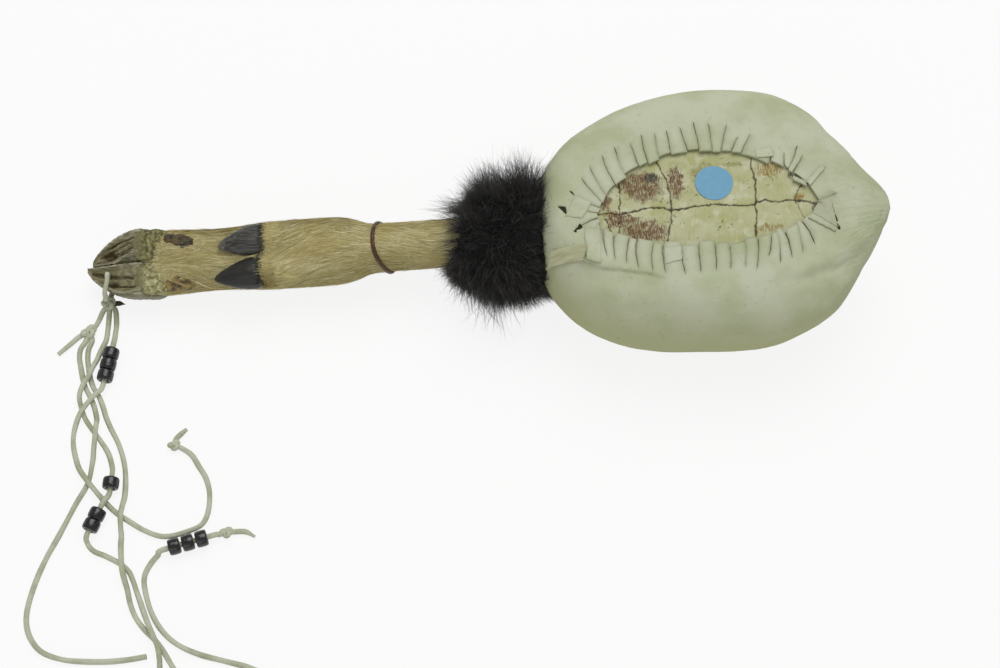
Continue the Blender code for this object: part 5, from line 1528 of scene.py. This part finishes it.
def lace_tube(name, line, diameter, cut=0.0, sides=20):
    """A lace with soft edges along a line, uneven and twisted. A cut draws its end in by a share."""
    along = travel(line)
    ahead = np.gradient(line, axis=0)
    ahead /= np.linalg.norm(ahead, axis=1, keepdims=True)
    up = np.zeros_like(line)
    last = np.array((0.0, 0.0, 1.0))
    if abs(ahead[0][2]) > 0.9:
        last = np.array((1.0, 0.0, 0.0))
    for i, d in enumerate(ahead):
        last = last - d * (last @ d)
        last /= np.linalg.norm(last)
        up[i] = last
    side = np.cross(ahead, up)
    twist = (0.5 * np.sin(along / 0.023 + 1.3) + 0.4 * np.sin(along / 0.0091))[:, None]
    up, side = up * np.cos(twist) + side * np.sin(twist), side * np.cos(twist) - up * np.sin(twist)
    turns = circle(sides)
    rise, out = (np.sign(wave) * np.abs(wave) ** 0.68 * 0.94 for wave in (np.sin(turns), np.cos(turns)))
    flat = 1 - 0.05 * np.sin(along / 0.021 + 0.7)
    swell = 1 + 0.03 * np.sin(along / 0.0031) * np.sin(along / 0.017)
    radius = diameter / 2 * swell
    if cut:
        radius = radius * (1 - cut * ramp(along, along[-1] * 0.55, along[-1]))
    wide = radius[:, None]
    grid = line[:, None] + up[:, None] * (rise[None] * wide * flat[:, None])[..., None] \
        + side[:, None] * (out[None] * wide / flat[:, None] ** 0.5)[..., None]
    grid[..., 2] = np.maximum(grid[..., 2], LACE_GAP)
    lace = ring_piece(name, grid)
    layer = lace.data.uv_layers.new(name="Lace")
    corner = np.zeros(len(lace.data.loops), np.int32)
    lace.data.loops.foreach_get("vertex_index", corner)
    u = along[corner // sides]
    v = corner % sides / sides
    for face in lace.data.polygons:
        loops = list(face.loop_indices)
        if len(loops) == 4 and v[loops].max() - v[loops].min() > 0.5:
            for k in loops:
                if v[k] < 0.5:
                    v[k] += 1.0
    layer.data.foreach_set("uv", np.column_stack([u / 0.010, v]).ravel().astype(np.float32))
    smooth(lace, 50)
    return lace


def hide_lace(settings, dark=False):
    """Hide lace: matte and pale, with fine lines along it, small cross wrinkles and yellower spots."""
    material, tree = blank_material("dark_lace_end" if dark else "hide_lace", 0.72, specular=0.25)
    place = node(tree, "TexCoord", output="Object")
    track = node(tree, "TexCoord", output="UV")
    lines = node(tree, "Mapping", {"Vector": track, "Scale": (1.2, 9.0, 1.0)})
    fibre = node(tree, "TexNoise", {"Vector": lines, "Scale": 1.0, "Detail": 4.0})
    cross = node(tree, "Mapping", {"Vector": track, "Scale": (11.0, 1.6, 1.0)})
    wrinkle = node(tree, "TexNoise", {"Vector": cross, "Scale": 1.0, "Detail": 3.0})
    cloud = node(tree, "TexNoise", {"Vector": place, "Scale": 1 / 0.010, "Detail": 3.0})
    base, low = ("#4d4b34", "#34321f") if dark else (settings.lace_colour[:], "#adb092")
    tint = layered(tree, base, (cloud, 0.42, 0.68, 1.0, low), (fibre, 0.52, 0.74, 0.45, low))
    relief = node(tree, "Math", {0: wrinkle, 1: 0.6, 2: fibre}, operation='MULTIPLY_ADD')
    return surfaced(material, tint, relief, 0.7, 0.0005)


def knot_line(centre, size, turn, lift):
    """The middle line of an overhand knot pulled tight, its size and lift in millimetres."""
    t = np.linspace(0.35, 2 * math.pi - 0.35, 150)
    trefoil = (np.sin(t) + 2 * np.sin(2 * t), np.cos(t) - 2 * np.cos(2 * t), -1.25 * np.sin(3 * t))
    x, y, z = np.array(trefoil) / 3.0 * np.array(size)[:, None] * MM
    c, s = math.cos(turn), math.sin(turn)
    spun = np.stack([x * c - y * s, x * s + y * c, z], axis=1)
    return spun + np.array((*centre, lift * MM)) + np.array(KNOT_1)


def joined(route, start=None, end=None):
    """A route led on into the knots at its ends."""
    points = [np.array(point) for point in route]
    if start:
        middle = np.array((*start, LOW + 0.0008))
        points.insert(0, middle + (points[0] - middle) * 0.25)
    if end:
        middle = np.array((*end, LOW + 0.0008))
        points.append(middle + (points[-1] - middle) * 0.25)
    return points


def thong_loop_line():
    """The loop from the first knot over the hoof's rim, down through its hole and back to the knot."""
    hole = to_world([(-HOLE_PLACE, -(CLEFT / 2 + HOLE_ASIDE), 0.0)])[0] - np.array(KNOT_1)
    ring, _ = hoof_ring(HOLE_PLACE, -1, TOE)
    rim = to_world(ring)[8] - np.array(KNOT_1)
    sole = to_world(ring)[4] - np.array(KNOT_1)
    clear = CORD_DIAMETER / 2 + 0.0003
    over = (rim + hole) / 2
    points = (
        (-0.7 * clear, 0.3 * clear, 0.0082),
        (rim[0] - 0.8 * clear, rim[1] - 1.7 * clear, rim[2] * 0.74),
        (rim[0] - 0.7 * clear, rim[1] - 0.9 * clear, rim[2] + 0.9 * clear),
        (over[0], over[1], rim[2] + 2.0 * clear),
        (hole[0], hole[1] - 0.5 * clear, sole[2] + 2.6 * clear),
        (hole[0], hole[1], sole[2] + 0.6 * clear),
        (hole[0], hole[1], hole[2] - 1.8 * clear),
        (hole[0], hole[1], LOW + 1.9 * clear),
        (hole[0], hole[1] - 0.8 * clear, LOW + 0.5 * clear),
        (hole[0] - 0.2 * clear, hole[1] - 2.1 * clear, LOW),
        (0.1 * clear, 0.0030, LOW + 0.35 * clear),
    )
    line = spaced(spline(points), 0.0006)
    line[:, 2] = np.maximum(line[:, 2], LOW)
    return line + np.array(KNOT_1)


def build_thong(settings):
    """The thong: a loop through the hoof, two knots and four strands of lace that lie on the table."""
    wide = settings.lace_diameter
    lace = hide_lace(settings)
    dark = hide_lace(settings, True)
    loop_line = thong_loop_line()
    loop = lace_tube("lace_loop", loop_line, wide)
    dress(loop, lace, "rattle", "pale_lace", "thong_loop")
    for name, body, solid, centre, size, turn, lift, slim in (
        ("knot_1", "rattle", "thong_knot_1", FIRST_KNOT, (2.9, 2.8, 2.6), 0.4, 3.8, 0.95),
        ("knot_2", "thong", "thong_knot_2", SECOND_KNOT, (3.6, 2.5, 1.9), math.radians(32), 3.4, 0.95),
        ("end_knot_a", "thong", "end_knot_1", END_KNOT_A, (2.6, 2.1, 1.5), math.radians(20), 3.0, 0.80),
        ("end_knot_d", "thong", "end_knot_4", END_KNOT_D, (2.7, 2.1, 1.5), math.radians(15), 3.0, 0.80),
    ):
        line = spaced(knot_line(centre, size, turn, lift), 0.0005)
        dress(lace_tube(f"lace_{name}", line, wide * slim), lace, body, "pale_lace", solid)
    for name, body, solid, route, material, cut in (
        ("tail_1", "rattle", "thong_tail_1", joined(TAIL_1_ROUTE, FIRST_KNOT), dark, 0.85),
        ("lead", "thong", "thong_lead", joined(LEAD_ROUTE, FIRST_KNOT, SECOND_KNOT), lace, 0.0),
        ("tail_2", "thong", "thong_tail_2", joined(TAIL_2_ROUTE, SECOND_KNOT), lace, 0.12),
        ("end_tail_a", "thong", "end_tail_1", joined(END_TAIL_1_ROUTE, END_KNOT_A), lace, 0.3),
        ("end_tail_d", "thong", "end_tail_4", joined(END_TAIL_4_ROUTE, END_KNOT_D), lace, 0.45),
    ):
        dress(lace_tube(f"lace_{name}", route_line(route), wide, cut), material, body, "pale_lace", solid)
    strands = {}
    for number, route in enumerate((
        joined(STRAND_1_ROUTE, FIRST_KNOT, END_KNOT_A), joined(STRAND_2_ROUTE, SECOND_KNOT),
        joined(STRAND_3_ROUTE, FIRST_KNOT), joined(STRAND_4_ROUTE, SECOND_KNOT, END_KNOT_D),
    ), 1):
        line = route_line(route)
        strand = lace_tube(f"lace_strand_{number}", line, wide)
        dress(strand, lace, "thong", "pale_lace", f"strand_{number}")
        strands[number] = (strand, line)
    return loop, loop_line, strands


def build_beads(settings):
    """Black pony beads: moulded barrels with rounded ends and a wide hole, each strung on the lace."""
    material, tree = blank_material("moulded_polystyrene", 0.12, 1.59)
    place = node(tree, "TexCoord", output="Object")
    haze = node(tree, "TexNoise", {"Vector": place, "Scale": 1 / 0.0018, "Detail": 3.0})
    dull = node(tree, "MapRange", {
        "Value": haze, "From Min": 0.35, "From Max": 0.75, "To Min": 0.06, "To Max": 0.24})
    tree.links.new(dull, tree.nodes["Principled BSDF"].inputs["Roughness"])
    tint = layered(tree, settings.bead_colour[:], (haze, 0.0, 1.0, 1.0, "#1b1b1b"))
    surfaced(material, tint, haze, 0.45, 0.0006)
    bore = BEAD_BORE / 2
    wall = (BEAD_DIAMETER / 2 - bore) / 2
    made = {}
    for group, route, run, count, spacing in BEAD_GROUPS:
        start, end = Vector(route[run]), Vector(route[run + 1])
        along = (end - start).normalized()
        for i in range(count):
            bpy.ops.mesh.primitive_circle_add(vertices=28, radius=1.0, fill_type='NOTHING')
            bead = bpy.context.object
            bead.name = f"pony_bead_{group}_{i + 1}"
            for vert in bead.data.vertices:
                x, y = (math.copysign(abs(a) ** 0.62, a) for a in vert.co[:2])
                vert.co = (bore + wall + wall * x, 0, BEAD_LENGTH / 2 * y * (0.90 if x < 0 else 1.0))
            bpy.ops.object.mode_set(mode='EDIT')
            bpy.ops.mesh.select_all(action='SELECT')
            bpy.ops.mesh.spin(steps=48, angle=2 * math.pi, center=(0, 0, 0), axis=(0, 0, 1))
            bpy.ops.mesh.select_all(action='SELECT')
            bpy.ops.mesh.remove_doubles(threshold=0.00001)
            bpy.ops.mesh.normals_make_consistent(inside=False)
            bpy.ops.object.mode_set(mode='OBJECT')
            middle = (start + end) / 2 + along * (i - (count - 1) / 2) * (BEAD_LENGTH + spacing) + KNOT_1
            turn = along.to_track_quat('Z', 'Y').to_matrix().to_4x4()
            bead.data.transform(Matrix.Translation(middle) @ turn @ Matrix.Rotation(1.7 * i, 4, 'Z'))
            smooth(bead, 60)
            dress(bead, material, f"beads_{group}", "black_bead", f"bead_{group}_{i + 1}")
            made.setdefault(group, []).append(bead)
    return made


# Pieces inside the shell

def build_inside():
    """Finishes for what stays hidden: the bone of the shell and of the leg, and the pebbles."""
    bone = mottled("dry_bone", 0.6, (0.004,) * 3, 5.0, "#b9ad8c", (0.0, 1.0, 1.0, "#ded5bd"), 0.3, 0.0005)
    stone = mottled("river_pebble", 0.7, (0.0012,) * 3, 4.0, "#6b675e", (0.0, 1.0, 1.0, "#a39c8c"))
    for name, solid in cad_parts.items():
        if name.startswith("pebble_"):
            finish = stone
        elif name in ("carapace", "plastron", "cannon_bone"):
            finish = bone
        else:
            continue
        solid.data.materials.clear()
        solid.data.materials.append(finish)


# Stage

def build_stage(settings):
    """Camera at the photograph's angle, a plain white floor and soft light from above."""
    scene = bpy.context.scene
    scene.view_settings.view_transform = 'Standard'
    lens = bpy.data.cameras.new("camera")
    lens.lens = settings.lens
    lens.sensor_width = 36
    camera = bpy.data.objects.new("camera", lens)
    camera.location = CAMERA_PLACE
    camera.rotation_euler = (CAMERA_TILT, 0, 0)
    scene.collection.objects.link(camera)
    scene.camera = camera
    bpy.ops.mesh.primitive_plane_add(size=8.0, location=(0, 0, -0.0002))
    floor = bpy.context.object
    floor.name = "floor"
    paint, tree = blank_material("white_sweep", 0.9, specular=0.0)
    shader = tree.nodes["Principled BSDF"]
    shader.inputs["Base Color"].default_value = linear("#f4f4f2")
    rays = node(tree, "LightPath").node.outputs
    seen = rays["Is Camera Ray"]
    for kind in ("Is Glossy Ray", "Is Transmission Ray"):
        seen = node(tree, "Math", {0: seen, 1: rays[kind]}, operation='MAXIMUM')
    seen = node(tree, "Math", {0: seen, 1: FLOOR_GLOW}, operation='MULTIPLY')
    white = node(tree, "Emission", {"Color": (1.0, 1.0, 1.0, 1.0), "Strength": 1.0})
    mixed = node(tree, "MixShader", {0: seen, 1: shader.outputs[0], 2: white})
    tree.links.new(mixed, tree.nodes["Material Output"].inputs["Surface"])
    floor.data.materials.append(paint)
    for name, size, power, place in (
        ("key", 1.5, settings.key_power, KEY_PLACE),
        ("fill", 1.4, settings.key_power * FILL_SHARE, FILL_PLACE),
    ):
        lamp = bpy.data.lights.new(name, 'AREA')
        lamp.shape = 'DISK'
        lamp.size = size
        lamp.energy = power
        lit = bpy.data.objects.new(name, lamp)
        lit.location = place
        lit.rotation_euler = (LAMP_AIM - Vector(place)).to_track_quat('-Z', 'Y').to_euler()
        scene.collection.objects.link(lit)
    world = bpy.data.worlds.new("soft_room")
    world.use_nodes = True
    scene.world = world
    back = world.node_tree.nodes["Background"]
    back.inputs["Color"].default_value = (1.0, 1.0, 1.0, 1.0)
    back.inputs["Strength"].default_value = ROOM_LIGHT


class RATTLE_OT_stage(bpy.types.Operator):
    """Set up the camera, the floor and the light"""
    bl_idname = "rattle.stage"
    bl_label = "Stage"

    def execute(self, context):
        build_stage(context.scene.rattle_stage)
        return {'FINISHED'}


class RATTLE_OT_thong(bpy.types.Operator):
    """Lay the lace, tie its knots and string its beads"""
    bl_idname = "rattle.thong"
    bl_label = "Thong and beads"

    def execute(self, context):
        settings = context.scene.rattle_thong
        loop, loop_line, strands = build_thong(settings)
        build_beads(settings)
        return {'FINISHED'}


class RATTLE_OT_cover(bpy.types.Operator):
    """Stretch the hide over the shell and cut its tabs"""
    bl_idname = "rattle.cover"
    bl_label = "Hide cover"

    def execute(self, context):
        build_cover(context.scene.rattle_shell)
        build_strap()
        return {'FINISHED'}


class RATTLE_OT_plastron(bpy.types.Operator):
    """Lay the scutes on the plastron and stick the label on"""
    bl_idname = "rattle.plastron"
    bl_label = "Plastron"

    def execute(self, context):
        build_scutes(context.scene.rattle_shell)
        build_label(context.scene.rattle_shell)
        build_inside()
        return {'FINISHED'}


class RATTLE_OT_leg(bpy.types.Operator):
    """Cover the leg with hair and tie its band"""
    bl_idname = "rattle.leg"
    bl_label = "Leg and band"

    def execute(self, context):
        build_leg(context.scene.rattle_handle)
        build_band()
        return {'FINISHED'}


class RATTLE_OT_hooves(bpy.types.Operator):
    """Model the hooves, their heels and the dewclaws"""
    bl_idname = "rattle.hooves"
    bl_label = "Hooves and dewclaws"

    def execute(self, context):
        build_hooves(context.scene.rattle_handle)
        build_dewclaws()
        return {'FINISHED'}


class RATTLE_OT_collar(bpy.types.Operator):
    """Grow the fur collar"""
    bl_idname = "rattle.collar"
    bl_label = "Fur collar"

    def execute(self, context):
        build_collar(context.scene.rattle_handle)
        return {'FINISHED'}


OPERATORS = (
    RATTLE_OT_stage, RATTLE_OT_thong, RATTLE_OT_cover, RATTLE_OT_plastron,
    RATTLE_OT_leg, RATTLE_OT_hooves, RATTLE_OT_collar,
)
SETTINGS = {
    "rattle_shell": RattleShellSettings,
    "rattle_handle": RattleHandleSettings,
    "rattle_thong": RattleThongSettings,
    "rattle_stage": RattleStageSettings,
}


class RATTLE_PT_panel(bpy.types.Panel):
    """The rattle's sizes, colours and pieces"""
    bl_idname = "RATTLE_PT_panel"
    bl_label = "Turtle shell rattle"
    bl_space_type = 'VIEW_3D'
    bl_region_type = 'UI'
    bl_category = "Rattle"

    def draw(self, context):
        for name, group in SETTINGS.items():
            box = self.layout.box()
            for key in group.__annotations__:
                box.prop(getattr(context.scene, name), key)
        for operator in OPERATORS:
            self.layout.operator(operator.bl_idname)


def register():
    for made in (*SETTINGS.values(), *OPERATORS, RATTLE_PT_panel):
        bpy.utils.register_class(made)
    for name, group in SETTINGS.items():
        setattr(bpy.types.Scene, name, bpy.props.PointerProperty(type=group))


def unregister():
    for name in SETTINGS:
        delattr(bpy.types.Scene, name)
    for made in (RATTLE_PT_panel, *reversed(OPERATORS), *SETTINGS.values()):
        bpy.utils.unregister_class(made)


def main():
    register()
    bpy.ops.rattle.stage()
    bpy.ops.rattle.thong()
    bpy.ops.rattle.cover()
    bpy.ops.rattle.plastron()
    bpy.ops.rattle.leg()
    bpy.ops.rattle.hooves()
    bpy.ops.rattle.collar()


if __name__ == "__main__":
    main()
